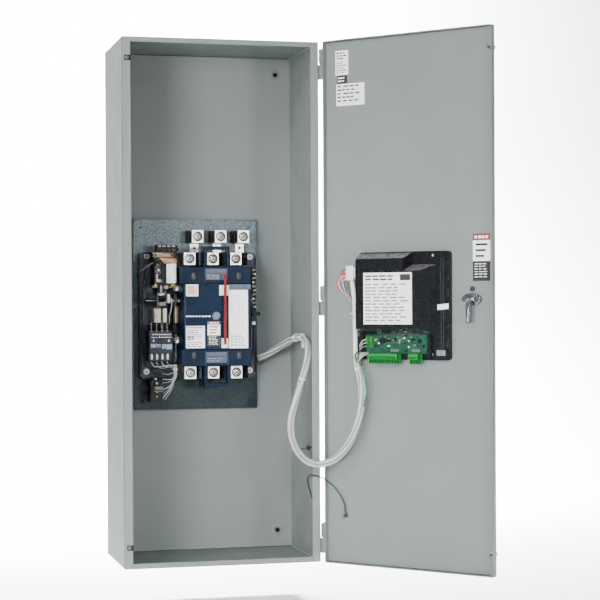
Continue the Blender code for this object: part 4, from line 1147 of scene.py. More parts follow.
def build_diagram(piece, a, b, c):
    """Faint print of a wiring diagram: ruled blocks joined by lines, over rows of bars."""
    wide = a[1] - a[0]
    for k in range(4):
        x = a[0] + wide * (0.16 + 0.19 * k)
        piece.box((x, x + 0.0004), (b[0] + 0.040, b[1] - 0.012), (c, c + 0.00008), Look.faint_ink,
                  bevel=0)
    for k in range(6):
        y = b[1] - 0.014 - k * 0.0145
        x = a[0] + wide * (0.30 + 0.08 * (k % 3))
        piece.box((x, x + wide * 0.34), (y, y + 0.0005), (c, c + 0.00008), Look.faint_ink, bevel=0)
        piece.box((x, x + 0.0006), (y - 0.008, y), (c, c + 0.00008), Look.rose_ink, bevel=0)
        piece.box((x + wide * 0.2, x + wide * 0.34), (y - 0.006, y - 0.0052), (c, c + 0.00008),
                  Look.faint_ink, bevel=0)
    text_bars(piece, (a[0] + 0.004, a[1] - 0.004), (b[0] + 0.004, b[0] + 0.034), c, 8,
              Look.faint_ink, 0.45, 1.0, 0.3, 4)

# ---------------------------------------------------------------- drive mechanism details
def build_solenoid_details():
    """Bracket, name-free label, screws, lead wires and coil tabs of the solenoid."""
    _, _, c = span("solenoid_frame", CABINET)
    face = c[1]
    piece = Piece("solenoid_bracket", CABINET, "cabinet", "solenoid_frame")
    piece.box((-0.1313, -0.0820), (0.1096, 0.1212), (face - 0.001, face + 0.0008), Look.brass)
    piece.box((-0.1240, -0.0890), (0.1112, 0.1120), (face + 0.0008, face + 0.0011), Look.copper)
    for x, r in ((-0.1259, 0.0021), (-0.0858, 0.0024)):
        piece.turned([(r, 0), (r, 0.0010), (r * 0.7, 0.0014), (0, 0.0014)],
                     (x, 0.1153, face + 0.0006), Look.black)
    piece.box((-0.0818, -0.0775), (0.1105, 0.1205), (face - 0.004, face + 0.0030), Look.black)
    piece.prism([(-0.1159, 0.1076), (-0.0745, 0.1076), (-0.0745, 0.0955), (-0.0985, 0.0935),
                 (-0.1040, 0.0950)], (face - 0.0003, face + 0.0012), Look.copper, bevel=0.0004)
    piece.turned([(0.0018, 0), (0.0018, 0.0006), (0, 0.0006)], (-0.0795, 0.1022, face + 0.0010),
                 Look.black)
    piece.box((-0.1060, -0.0745), (0.0472, 0.0955), (face - 0.004, face - 0.0002), Look.gold)
    piece.box((-0.0743, -0.0722), (0.0480, 0.1050), (face - 0.012, face + 0.0004), Look.black)
    top = sticker(piece, (-0.0985, -0.0757), (0.0480, 0.0948), face, Look.iridescent)
    piece.turned([(0.0011, 0), (0.0011, 0.0004), (0, 0.0004)], (-0.0778, 0.0545, top),
                 Look.dark_steel)
    piece.box((-0.1232, -0.1186), (0.0500, 0.0700), (-0.206, -0.2025), Look.cream)
    piece.box((-0.1232, -0.1046), (0.0500, 0.0572), (-0.206, -0.2020), Look.cream)
    piece.box((-0.1294, -0.1264), (0.0500, 0.1000), (face - 0.0110, face + 0.0002), Look.black)
    piece.box((-0.1294, -0.0736), (0.0428, 0.0502), (face - 0.0110, face + 0.0002), Look.black)
    piece.box((-0.1294, -0.1180), (0.0980, 0.1094), (face - 0.0110, face + 0.0002), Look.black)
    for x0, x1, mat in ((-0.1285, -0.1225, Look.gold), (-0.0858, -0.0790, Look.gold)):
        piece.box((x0, x1), (0.0404, 0.0456), (face - 0.0110, face + 0.0010), mat)
    piece.box((-0.0838, -0.0808), (0.0412, 0.0446), (face + 0.0006, face + 0.0014), Look.black)
    piece.done()

    coil = Piece("solenoid_coil_fittings", CABINET, "cabinet", "solenoid_coil")
    centre = (-0.108, -0.226)
    for z in (0.0512, 0.1105):
        coil.turned([(0.0196, 0), (0.0200, 0.0004), (0.0200, 0.0014), (0.0196, 0.0018)],
                    (centre[0], z - 0.0009, centre[1]), Look.black, axis=(0, 1, 0), sides=40)
    for k in range(9):
        z = 0.0570 + k * 0.0056
        coil.turned([(0.01840, 0), (0.01885, 0.0016), (0.01885, 0.0030), (0.01840, 0.0046)],
                    (centre[0], z, centre[1]), Look.coil, axis=(0, 1, 0), sides=40)
    coil.turned([(0.0125, 0), (0.0125, 0.0040), (0.0115, 0.0052), (0.0090, 0.0054),
                 (0.0084, 0.0046), (0, 0.0046)], (-0.1168, 0.0795, -0.2085), Look.black, sides=36)
    for r in (0.0110, 0.0078, 0.0048):
        coil.turned([(r, 0.0044), (r, 0.0056), (r - 0.0010, 0.0056), (r - 0.0010, 0.0044)],
                    (-0.1168, 0.0795, -0.2085), Look.tape, sides=36, hollow=True)
    coil.turned([(0.0021, 0.0044), (0.0019, 0.0060), (0, 0.0062)], (-0.1168, 0.0795, -0.2085),
                Look.lug)
    coil.box((-0.1215, -0.1170), (0.0900, 0.0950), (-0.2085, -0.2050), Look.tape)
    coil.wire([(-0.1160, 0.1058, -0.2060), (-0.1200, 0.1020, -0.2030), (-0.1290, 0.0985, -0.2050),
               (-0.1402, 0.0900, -0.2180), (-0.1500, 0.0810, -0.2330), (-0.1560, 0.0770, -0.2480)],
              0.0010, Look.white_wire)
    coil.wire([(-0.1210, 0.0990, -0.2060), (-0.1302, 0.0949, -0.2150), (-0.1350, 0.0880, -0.2260),
               (-0.1383, 0.0790, -0.2400), (-0.1390, 0.0700, -0.2510)], 0.0009, Look.grey_wire)
    coil.wire([(-0.1240, 0.1100, -0.2160), (-0.1340, 0.1020, -0.2300), (-0.1440, 0.0960, -0.2500)],
              0.0012, Look.black_wire)
    coil.turned([(0.0026, 0), (0.0026, 0.0040), (0.0018, 0.0052), (0, 0.0054)],
                (-0.1180, 0.1045, -0.2065), Look.nylon)
    coil.box((-0.1600, -0.1545), (0.0690, 0.0750), (-0.2545, -0.2470), Look.black)
    coil.done()


def build_strip_details():
    """Screws and clamps of the two terminal strips."""
    piece = Piece("terminal_strip_screws", CABINET, "cabinet", "terminal_strip")
    for k in range(4):
        a = -0.1118 + 0.0114 * k
        pan_screw(piece, a, 0.1285, -0.2120, 0.0034, Look.dark_steel, slot_outline, 0.5 + k)
        piece.box((a - 0.0040, a + 0.0040), (0.1345, 0.1392), (-0.2200, -0.2150), Look.faint_metal)
        # A lighter strip under each screw: a painted highlight.
        piece.box((a - 0.0040, a + 0.0040), (0.1228, 0.1250), (-0.2120, -0.2108), Look.base_highlight)
    piece.prism([(-0.0715, 0.1400), (-0.0640, 0.1290), (-0.0700, 0.1225), (-0.0715, 0.1225)],
                (-0.240, -0.214), Look.black)
    piece.done()

    block = Piece("relay_terminals", CABINET, "cabinet", "relay_terminal_block")
    for k, b in enumerate((-0.1830, -0.1930, -0.2142, -0.2251)):
        c = -0.2180 if -0.222 < b < -0.196 else -0.2280
        c = -0.2180 if k == 1 else c
        block.box((-0.1285, -0.1135), (b - 0.0040, b + 0.0040), (c - 0.010, c - 0.0002), Look.black)
        pan_screw(block, -0.1212 + 0.001 * k, b, c - 0.0003, 0.0030,
                  (Look.lug, Look.lug, Look.tan_metal, Look.tan_metal)[k], slot_outline, 0.8 * k)
    block.box((-0.1250, -0.1050), (-0.2085, -0.2010), (-0.2180, -0.2150), Look.pale_green)
    block.box((-0.1260, -0.1040), (-0.2135, -0.2110), (-0.2180, -0.2160), Look.pale_green)
    block.box((-0.1465, -0.1330), (-0.2085, -0.2035), (-0.2500, -0.2420), Look.black)
    for k in range(5):
        block.box((-0.1340, -0.1325), (-0.1920 - 0.0098 * k, -0.1900 - 0.0098 * k),
                  (-0.2300, -0.2180), Look.black)
        block.box((-0.1052, -0.1020), (-0.1930 - 0.0098 * k, -0.1895 - 0.0098 * k),
                  (-0.2420, -0.2290), Look.faint_metal)
    block.done()


def build_link_details():
    """Dark rods on the shaft's crank with a painted highlight along them, and bright pins and clips on
    the core's clevis.
    """
    crank = Piece("crank_fittings", CABINET, "contact_shaft", "main_shaft")
    axis = (0.006, -0.215)
    crank.rod((-0.1493, axis[0], axis[1]), (-0.1440, axis[0], axis[1]), 0.0056, Look.black)
    crank.rod((-0.1440, axis[0], axis[1]), (-0.1225, axis[0], axis[1]), 0.0054, Look.black)
    # A lighter strip along the crank: a painted highlight.
    crank.box((-0.1470, -0.1235), (axis[0] - 0.0008, axis[0] + 0.0010), (-0.2098, -0.2093),
              Look.paint_highlight)
    crank.done()

    clevis = Piece("clevis_fittings", CABINET, "core", "drive_link")
    _, _, c = span("drive_link", CABINET)
    clevis.box((-0.1182, -0.1070), (0.0188, 0.0228), (c[1] - 0.001, c[1] + 0.0012), Look.white_paint)
    clevis.turned([(0.0030, 0), (0.0030, 0.0030), (0.0022, 0.0036), (0, 0.0036)],
                  (-0.1080, 0.0219, c[1]), Look.lug)
    clevis.rod((-0.0985, 0.0221, -0.2265), (-0.0942, 0.0221, -0.2265), 0.0028, Look.lug)
    clevis.done()

    pivot = Piece("mechanism_brackets", CABINET, "cabinet", "switch_base")
    pivot.box((-0.0965, -0.0905), (0.0000, 0.0215), (-0.212, -0.1960), Look.cream)
    pivot.box((-0.0950, -0.0915), (0.0020, 0.0195), (-0.1962, -0.1950), Look.white_paint)
    pivot.box((-0.0965, -0.0780), (0.0040, 0.0080), (-0.255, -0.2120), Look.black)
    pivot.box((-0.1280, -0.1125), (0.0375, 0.0450), (-0.2440, -0.2290), Look.cream)
    pivot.box((-0.1205, -0.1165), (0.0380, 0.0445), (-0.2290, -0.2282), Look.gold)
    pivot.box((-0.0856, -0.0771), (0.0375, 0.0462), (-0.2440, -0.2250), Look.gold)
    pivot.turned([(0.0021, 0), (0.0021, 0.0008), (0, 0.0008)], (-0.0814, 0.0415, -0.2250),
                 Look.black)
    pivot.turned([(0.0036, 0), (0.0044, 0.0030), (0.0058, 0.0090), (0.0056, 0.0130),
                  (0.0040, 0.0158), (0, 0.0166)], (-0.0955, 0.0500, -0.2230), Look.nylon,
                 axis=(0, -1, 0.25))
    pivot.rod((-0.0975, 0.0300, -0.2240), (-0.0985, 0.0200, -0.2240), 0.0008, Look.lug)
    pivot.done()

    body = Piece("mechanism_blocks", CABINET, "cabinet", "switch_base")
    body.box((-0.1255, -0.1090), (-0.0470, -0.0118), (BASE_FACE, -0.2180), Look.cream,
             bevel=0.0012)
    body.box((-0.1240, -0.1105), (-0.0455, -0.0135), (-0.2180, -0.2160), Look.cream, bevel=0.0008)
    body.turned([(0.0016, 0), (0.0016, 0.0008), (0, 0.0008)], (-0.1200, -0.0270, -0.2160),
                Look.tan)
    body.box((-0.1035, -0.0945), (-0.0465, -0.0125), (BASE_FACE, -0.2190), Look.pale_cream,
             bevel=0.0010)
    body.box((-0.1075, -0.1050), (-0.0470, -0.0120), (BASE_FACE, -0.2260), Look.black)
    body.rod((-0.0700, -0.0495, -0.2300), (-0.0700, -0.0050, -0.2300), 0.0074, Look.black,
             sides=28, bevel=0.0010)
    for x, c, mat in ((-0.0755, -0.2255, Look.tan), (-0.0722, -0.2230, Look.pale_cream),
                      (-0.0690, -0.2228, Look.tan), (-0.0660, -0.2245, Look.brown)):
        body.rod((x, -0.0480, c), (x, -0.0070, c), 0.0012, mat, sides=10)
    for y in (-0.0440, -0.0330, -0.0220, -0.0110):
        body.turned([(0.0074, 0), (0.0082, 0.0006), (0.0082, 0.0016), (0.0074, 0.0022)],
                    (-0.0700, y, -0.2300), Look.black, axis=(0, 1, 0), sides=28)
    body.rod((-0.0810, -0.0600, -0.2440), (-0.0810, 0.0000, -0.2440), 0.0050, Look.black)
    body.wire([(-0.0860, 0.0140, -0.2150), (-0.0846, 0.0080, -0.2100), (-0.0847, -0.0050, -0.2090),
               (-0.0868, -0.0200, -0.2095), (-0.0895, -0.0330, -0.2130),
               (-0.0880, -0.0460, -0.2250), (-0.0900, -0.0560, -0.2420)], 0.0010, Look.white_wire)
    body.done()


def spade(piece, a, b, c, mat):
    """A push-on connector with a clear sleeve: a tapering tube with a bright tongue."""
    piece.rod((a, b, c), (a, b - 0.0110, c), 0.0026, Look.black, sides=14, end_radius=0.0034)
    piece.box((a - 0.0009, a + 0.0002), (b - 0.0100, b - 0.0010), (c + 0.0022, c + 0.0032), mat)
    piece.rod((a, b - 0.0105, c), (a, b - 0.0150, c), 0.0023, Look.white_paint, sides=12)


def build_relay_details():
    """Push-on connectors above and below the relay, its screws, labels and armature grip."""
    relay = Piece("relay_fittings", CABINET, "cabinet", "control_relay")
    face = -0.1860
    for x, y in ((-0.1324, -0.0902), (-0.0952, -0.0896)):
        pan_screw(relay, x, y, face, 0.0030, Look.lug)
    relay.box((-0.1343, -0.0852), (-0.0789, -0.0725), (-0.2060, -0.2035), Look.red_label)
    text_bars(relay, (-0.1330, -0.0865), (-0.0785, -0.0730), -0.2035, 1, Look.white_label, 0.32,
              1.0, 0.0, 7)
    relay.box((-0.1380, -0.0880), (-0.0828, -0.0812), (-0.1860, -0.1850), Look.steel)
    (arm0, arm1), _, _ = span("relay_armature", CABINET)
    sticker(relay, (-0.1394, arm0 - 0.0008), (-0.1066, -0.0975), face + 0.0004, Look.blue_label)
    sticker(relay, (arm1 + 0.0008, -0.0884), (-0.1105, -0.0988), face + 0.0004, Look.blue_label)
    for k in range(4):
        a = -0.1342 + 0.01285 * k
        relay.box((a - 0.0042, a + 0.0042), (-0.0664, -0.0500), (-0.2300, -0.2150), Look.black)
        spade(relay, a, -0.0545, -0.2080, Look.clear_sleeve)
        relay.wire([(a, -0.0560, -0.2080), (a + 0.0005, -0.0500, -0.2085),
                    (a + 0.0020 - 0.001 * k, -0.0440, -0.2200), (a + 0.003, -0.0380, -0.2450)],
                   0.0010, Look.grey_wire)
        relay.box((a - 0.0020, a + 0.0020), (-0.1356, -0.1212), (-0.2060, -0.2030),
                  Look.white_paint, bevel=0.0008)
        relay.box((a - 0.0024, a + 0.0024), (-0.1320, -0.1240), (-0.2032, -0.2020),
                  Look.white_paint, bevel=0.0006)
        relay.rod((a, -0.1400, -0.2100), (a, -0.1445, -0.2130), 0.0016, Look.lug)
    for a in (-0.0736, -0.0708):
        relay.wire([(a, -0.0760, -0.2300), (a + 0.0004, -0.1000, -0.2260),
                    (a - 0.0004, -0.1250, -0.2260), (a - 0.0020, -0.1420, -0.2220)], 0.0006,
                   Look.grey_wire)
    relay.done()

    grip = Piece("armature_grip", CABINET, "armature", "relay_armature")
    a, b, c = span("relay_armature", CABINET)
    for k in range(4):
        y = b[0] + 0.004 + 0.0050 * k
        grip.box((a[0] + 0.003, a[1] - 0.003), (y, y + 0.0018), (c[1] - 0.0004, c[1] + 0.0006),
                 Look.black)
    grip.box((a[0] + 0.0008, middle(a) - 0.0010), (-0.1058, -0.0972), (c[1] - 0.0002, c[1] + 0.0002),
             Look.blue_label)
    grip.box((middle(a) + 0.0012, a[1] - 0.0004), (-0.1090, -0.0985), (c[1] - 0.0002, c[1] + 0.0002),
             Look.blue_label)
    grip.done()


def build_base_wiring():
    """Control wires gathered beside the relay and fanned out to its terminal block."""
    piece = Piece("control_wires", CABINET, "cabinet", "switch_base")
    looks = (Look.white_wire, Look.grey_wire)
    starts = (-0.1324, -0.1196, -0.1068, -0.0940)
    for k, a in enumerate(starts):
        sag = 0.0035 * (k % 2)
        piece.wire([(a, -0.1440, -0.2130), (a + 0.0030, -0.1500 - sag, -0.2130),
                    (a + 0.0130, -0.1530 - sag, -0.2140), (-0.0880, -0.1500 - sag, -0.2170),
                    (-0.0785 + 0.0014 * k, -0.1540, -0.2200), (-0.0775 + 0.0016 * k, -0.1650, -0.2215)],
                   0.0011, looks[k % 2])
    for k in range(7):
        a = -0.0782 + 0.0019 * (k % 4)
        c = -0.2190 - 0.0022 * (k // 4)
        ends = ((-0.1075, -0.1700), (-0.1050, -0.1830), (-0.1060, -0.1930), (-0.1040, -0.2090),
                (-0.1030, -0.2190), (-0.1030, -0.2270), (-0.0990, -0.2330))
        x, y = ends[k]
        drop = max(-0.1780, y + 0.004)
        piece.wire([(a, -0.1480, c), (a + 0.0004, -0.1620, c), (a - 0.0008, drop, c),
                    ((a + x) / 2 + 0.002, (drop + y) / 2 - 0.004, c + 0.003), (x, y, c - 0.004)],
                   0.0011, looks[(k + 1) % 2])
    for k in range(4):
        y = -0.158 - 0.010 * k
        piece.wire([(-0.1310, y, -0.2420), (-0.1200, y - 0.004, -0.2330),
                    (-0.1080, y + 0.002, -0.2300), (-0.0930, y - 0.003, -0.2330),
                    (-0.0800, y, -0.2300)], 0.0012, Look.black_wire)
    band(piece, (-0.0750, -0.1600, -0.2205), (0, 1, 0), 0.0050, 0.0030, Look.nylon)
    for k in range(6):
        a = -0.1475 + 0.0021 * (k % 3)
        bow = 0.004 * math.sin(1.7 * k)
        piece.wire([(a, 0.088 - 0.012 * k, -0.2505), (a + bow, 0.040, -0.2485),
                    (a - bow, -0.020, -0.2490), (a + bow, -0.080, -0.2485),
                    (a + 0.003, -0.135 - 0.004 * k, -0.2500)], 0.0012,
                   (Look.black_wire, Look.black_wire, Look.blue_wire)[k % 3])
    for k in range(4):
        piece.wire([(-0.0665, 0.020 - 0.004 * k, -0.2500), (-0.0685 - 0.002 * k, -0.0600, -0.2440),
                    (-0.0690, -0.1000, -0.2460), (-0.0680 - 0.002 * k, -0.1450, -0.2470)], 0.0012,
                   Look.black_wire)
    piece.done()


def build_aux_details():
    """Small contacts, screws and wires down the auxiliary contact block."""
    piece = Piece("aux_contacts", CABINET, "cabinet", "aux_contact_block")
    mats = (Look.faint_metal, Look.dark_steel, Look.tan, Look.lug)
    for k in range(12):
        y = 0.0800 - 0.0100 * k
        if abs(y + 0.027) < 0.008:
            continue
        piece.box((0.1160, 0.1268), (y - 0.0038, y + 0.0038), (-0.2270, -0.2245), Look.black)
        piece.turned([(0.0027, 0), (0.0027, 0.0010), (0.0018, 0.0016), (0.0012, 0.0010),
                      (0, 0.0010)], (0.1196, y, -0.2245), mats[k % 4])
        piece.box((0.1222, 0.1256), (y - 0.0016, y + 0.0022), (-0.2250, -0.2228), mats[(k + 2) % 4])
    piece.rod((0.1270, -0.0270, -0.2400), (0.1292, -0.0270, -0.2150), 0.0040, Look.black)
    piece.turned([(0.0052, 0), (0.0054, 0.0016), (0.0048, 0.0024), (0.0020, 0.0026), (0, 0.0020)],
                 (0.1292, -0.0270, -0.2150), Look.black)
    piece.turned([(0.0046, 0), (0.0046, 0.0012), (0.0030, 0.0016), (0.0026, 0.0008), (0, 0.0008)],
                 (0.1206, -0.0495, -0.2250), Look.white_paint)
    for k in range(3):
        piece.wire([(0.1235, 0.070 - 0.03 * k, -0.2240), (0.1275, 0.062 - 0.03 * k, -0.2230),
                    (0.1290, 0.045 - 0.03 * k, -0.2330), (0.1285, 0.030 - 0.03 * k, -0.2480)],
                   0.0009, Look.grey_wire)
    piece.wire([(0.1300, 0.0900, -0.2500), (0.1290, 0.0400, -0.2480), (0.1285, -0.0300, -0.2480),
                (0.1270, -0.0900, -0.2490), (0.1230, -0.1350, -0.2520)], 0.0022, Look.black_wire)
    piece.done()


def build_indicator_details():
    a, b, c = span("position_indicator", CABINET)
    dial = Piece("indicator_face", CABINET, "indicator", "position_indicator")
    origin = (middle(a), middle(b), c[1])
    dial.turned([(0.0101, -0.0060), (0.0108, -0.0052), (0.0108, -0.0012), (0.0100, 0.0002),
                 (0.0086, 0.0004), (0.0078, -0.0004)], origin, Look.dial, sides=48)
    dial.box((-0.0060, 0.0060), (-0.0011, 0.0011), (0.0001, 0.0006), Look.black)
    dial.done()


def build_handle_details():
    """Ribbed grip and bright neck on the manual handle."""
    piece = Piece("handle_grip", CABINET, "manual_handle", "maintenance_handle")
    x = 0.0335
    for k in range(15):
        y = -0.0830 + 0.0074 * k
        if 0.0185 < y < 0.0385 or y < -0.0800:
            continue
        piece.turned([(0.0030, -0.0026), (0.00335, -0.0020), (0.00335, 0.0020), (0.0030, 0.0026)],
                     (x + 0.0010 * (y + 0.0985) / 0.1625, y, -0.1450), Look.red,
                     axis=(0, 1, 0), sides=24)
    piece.rod((x, -0.0990, -0.1450), (x, -0.0940, -0.1450), 0.00325, Look.red, sides=24)
    piece.done()


# ---------------------------------------------------------------- door details
def build_door_labels():
    piece = Piece("door_labels", DOOR, "door", "door_panel")
    top = sticker(piece, (0.0280, 0.0646), (0.5286, 0.5856), 0.0, Look.white_label)
    text_bars(piece, (0.0310, 0.0620), (0.5640, 0.5830), top, 3, Look.ink, 0.5, 0.95)
    text_bars(piece, (0.0310, 0.0620), (0.5310, 0.5600), top, 5, Look.faint_ink, 0.5, 0.95)
    top = sticker(piece, (0.0330, 0.0613), (0.5087, 0.5270), 0.0, Look.black_label)
    text_bars(piece, (0.0355, 0.0590), (0.5110, 0.5250), top, 2, Look.white_label, 0.45, 0.95)
    top = sticker(piece, (0.0300, 0.1100), (0.4566, 0.5075), 0.0, Look.white_label)
    for k in range(5):
        b = 0.4630 + 0.0084 * k
        piece.box((0.0320, 0.1080), (b, b + 0.0003), (top, top + 0.00008), Look.faint_ink, bevel=0)
    text_bars(piece, (0.0330, 0.1060), (0.4640, 0.5060), top, 5, Look.ink, 0.4, 0.95, 0.3, 4)
    build_notice(piece, (0.4010, 0.4460), (0.0450, 0.1500), 0.0, 0.14, 0.58)
    piece.done()

    folds = Piece("door_folds", DOOR, "door", "door_panel")
    (_, right), (_, high), c = span("door_panel", DOOR)
    # Dark rods and short lines of painted shade along the door's folded edges.
    for sign in (1, -1):
        b = sign * (high - 0.0046)
        folds.rod((0.012, b, c[1] - 0.0010), (right - 0.012, b, c[1] - 0.0010), 0.0008, Look.paint_shadow,
                  sides=8)
        for a in (0.012, right - 0.012):
            folds.box((a - 0.0004, a + 0.0004), sorted((sign * high, sign * (high - 0.0100))),
                      (c[1] - 0.0002, c[1] + 0.0001), Look.paint_shadow, bevel=0)
    for b in (-0.470, -0.150, 0.310, 0.430):
        folds.turned([(0.0040, 0), (0.0038, 0.0003), (0.0030, 0.0004), (0, 0.0003)],
                     (0.250, b, 0.0), Look.paint, sides=28)
    folds.done()

    outer = Piece("door_outer_pressing", OUTSIDE, "door", "door_panel")
    for b in (-0.560, 0.560):
        outer.turned([(0.0085, 0), (0.0085, 0.0003), (0.0072, 0.0008), (0.0062, 0.0003),
                      (0.0062, 0)], (0.0140, b, 0.0), Look.zinc, sides=32)
    outer.done()


def build_captive_screw_details():
    """Recesses in the heads, washers and shank rings of the two door screws."""
    for name in ("captive_screw_top", "captive_screw_bottom"):
        a, b, c = span(name, DOOR)
        origin = (middle(a), middle(b))
        radius = (a[1] - a[0]) / 2
        piece = Piece(name + "_detail", DOOR, name, name)
        piece.turned([(0.0018, -0.0002), (0.0014, 0.0002), (0, 0.0003)],
                     (origin[0], origin[1], c[1]), Look.thread)
        piece.turned([(radius * 0.92, 0.0004), (radius * 0.90, -0.0003), (radius * 0.70, -0.0005),
                      (radius * 0.62, -0.0001, slot_outline), (0, -0.0001)],
                     (origin[0], origin[1], c[0]), Look.dark_steel)
        piece.done()
        ring = Piece(name + "_retainer", DOOR, "door", "door_panel")
        ring.turned([(0.0056, 0), (0.0074, 0.0002), (0.0076, 0.0010), (0.0058, 0.0012)],
                    (origin[0], origin[1], 0.0), Look.zinc, sides=32, hollow=True)
        ring.done()


def build_latch_details():
    """Stepped chrome rim, spindle nut and stop stud, and the ribbed cam that turns."""
    (a0, a1), (b0, b1), c = span("latch_escutcheon", DOOR)
    centre = (middle((a0, a1)), middle((b0, b1)))
    plate = Piece("latch_fittings", DOOR, "door", "latch_escutcheon")
    for share, top in ((1.0, 0.0008), (0.82, 0.0014), (0.62, 0.0019)):
        outline = []
        for k in range(48):
            t = 2 * math.pi * k / 48
            outline.append((centre[0] + (a1 - a0) / 2 * share * math.cos(t) * 0.985,
                            centre[1] + (b1 - b0) / 2 * share * math.sin(t) * 0.985))
        plate.prism(outline, (c[1] - 0.0004, c[1] + top - 0.0006),
                    Look.dark_steel if share == 0.82 else Look.chrome, bevel=0.0002)
    for side in (-1, 1):
        plate.turned([(0.0026, 0), (0.0024, 0.0008), (0.0012, 0.0011), (0, 0.0011)],
                     (centre[0] + side * 0.0175, centre[1], c[1] + 0.0006), Look.dark_steel)
    plate.done()
    stud = Piece("latch_stop_stud", DOOR, "door", "door_panel")
    stud.turned([(0.0060, 0), (0.0060, 0.0030), (0.0050, 0.0038), (0.0030, 0.0038),
                 (0.0026, 0.0028), (0, 0.0028)], (0.4003, 0.0275, 0.0), Look.dark_steel)
    stud.done()
    _, b, c = span("latch_cam", DOOR)
    cam = Piece("latch_cam_fittings", DOOR, "latch", "latch_cam")
    cam.turned([(0.0078, -0.0030, hex_outline), (0.0080, -0.0002, hex_outline),
                (0.0070, 0.0010), (0.0044, 0.0012), (0.0040, 0.0006)],
               (centre[0], centre[1], c[1]), Look.chrome, sides=36, spin=0.3)
    cam.turned([(0.0036, 0), (0.0036, 0.0022), (0.0028, 0.0030), (0, 0.0031)],
               (centre[0], centre[1], c[1]), Look.thread)
    cam.box((centre[0] - 0.0022, centre[0] + 0.0022), (b[0] + 0.003, centre[1] - 0.010),
            (c[1] - 0.0003, c[1] + 0.0008), Look.chrome, bevel=0.0007)
    cam.box((centre[0] - 0.0052, centre[0] - 0.0042), (b[0] + 0.003, centre[1] - 0.010),
            (c[1] - 0.0003, c[1] + 0.0004), Look.dark_steel, bevel=0.0002)
    cam.done()
    grip = Piece("latch_handle_detail", DOOR, "latch", "latch_handle")
    _, b, c = span("latch_handle", DOOR)
    grip.turned([(0.0090, 0.0006), (0.0092, -0.0004), (0.0070, -0.0010), (0.0052, -0.0008),
                 (0.0050, -0.0002), (0, -0.0002)], (centre[0], centre[1], c[0]), Look.chrome,
                sides=36)
    for k in range(4):
        y = b[0] + 0.006 + 0.0036 * k
        grip.box((centre[0] - 0.0055, centre[0] + 0.0055), (y, y + 0.0014),
                 (c[0] - 0.0005, c[0] + 0.0006), Look.black)
    grip.done()


def build_ground_details():
    u, v = 0.053, -0.4975
    piece = Piece("ground_terminal", DOOR, "door", "door_ground_stud")
    piece.turned([(0.0072, 0.0004), (0.0074, 0.0008), (0.0074, 0.0014), (0.0042, 0.0016)],
                 (u, v, 0.0), Look.zinc, sides=28)
    piece.turned([(0.0052, 0.0016, hex_outline), (0.0054, 0.0030, hex_outline),
                  (0.0050, 0.0058, hex_outline), (0.0040, 0.0066), (0.0026, 0.0066)], (u, v, 0.0),
                 Look.brass, sides=36)
    for k in range(6):
        piece.turned([(0.0021, -0.0004), (0.0025, 0), (0.0021, 0.0004)],
                     (u, v, 0.0072 + 0.0010 * k), Look.thread)
    piece.done()
    wall = Piece("cabinet_ground_fixing", CABINET, "cabinet", "cabinet_shell")
    wall.turned([(0.0062, 0), (0.0062, 0.0010), (0.0048, 0.0012, hex_outline),
                 (0.0048, 0.0042, hex_outline), (0.0036, 0.0048), (0.0018, 0.0048),
                 (0.0018, 0.0066), (0, 0.0068)], (0.2275, -0.5130, -0.0310), Look.brass,
                axis=(-1, 0, 0))
    wall.done()


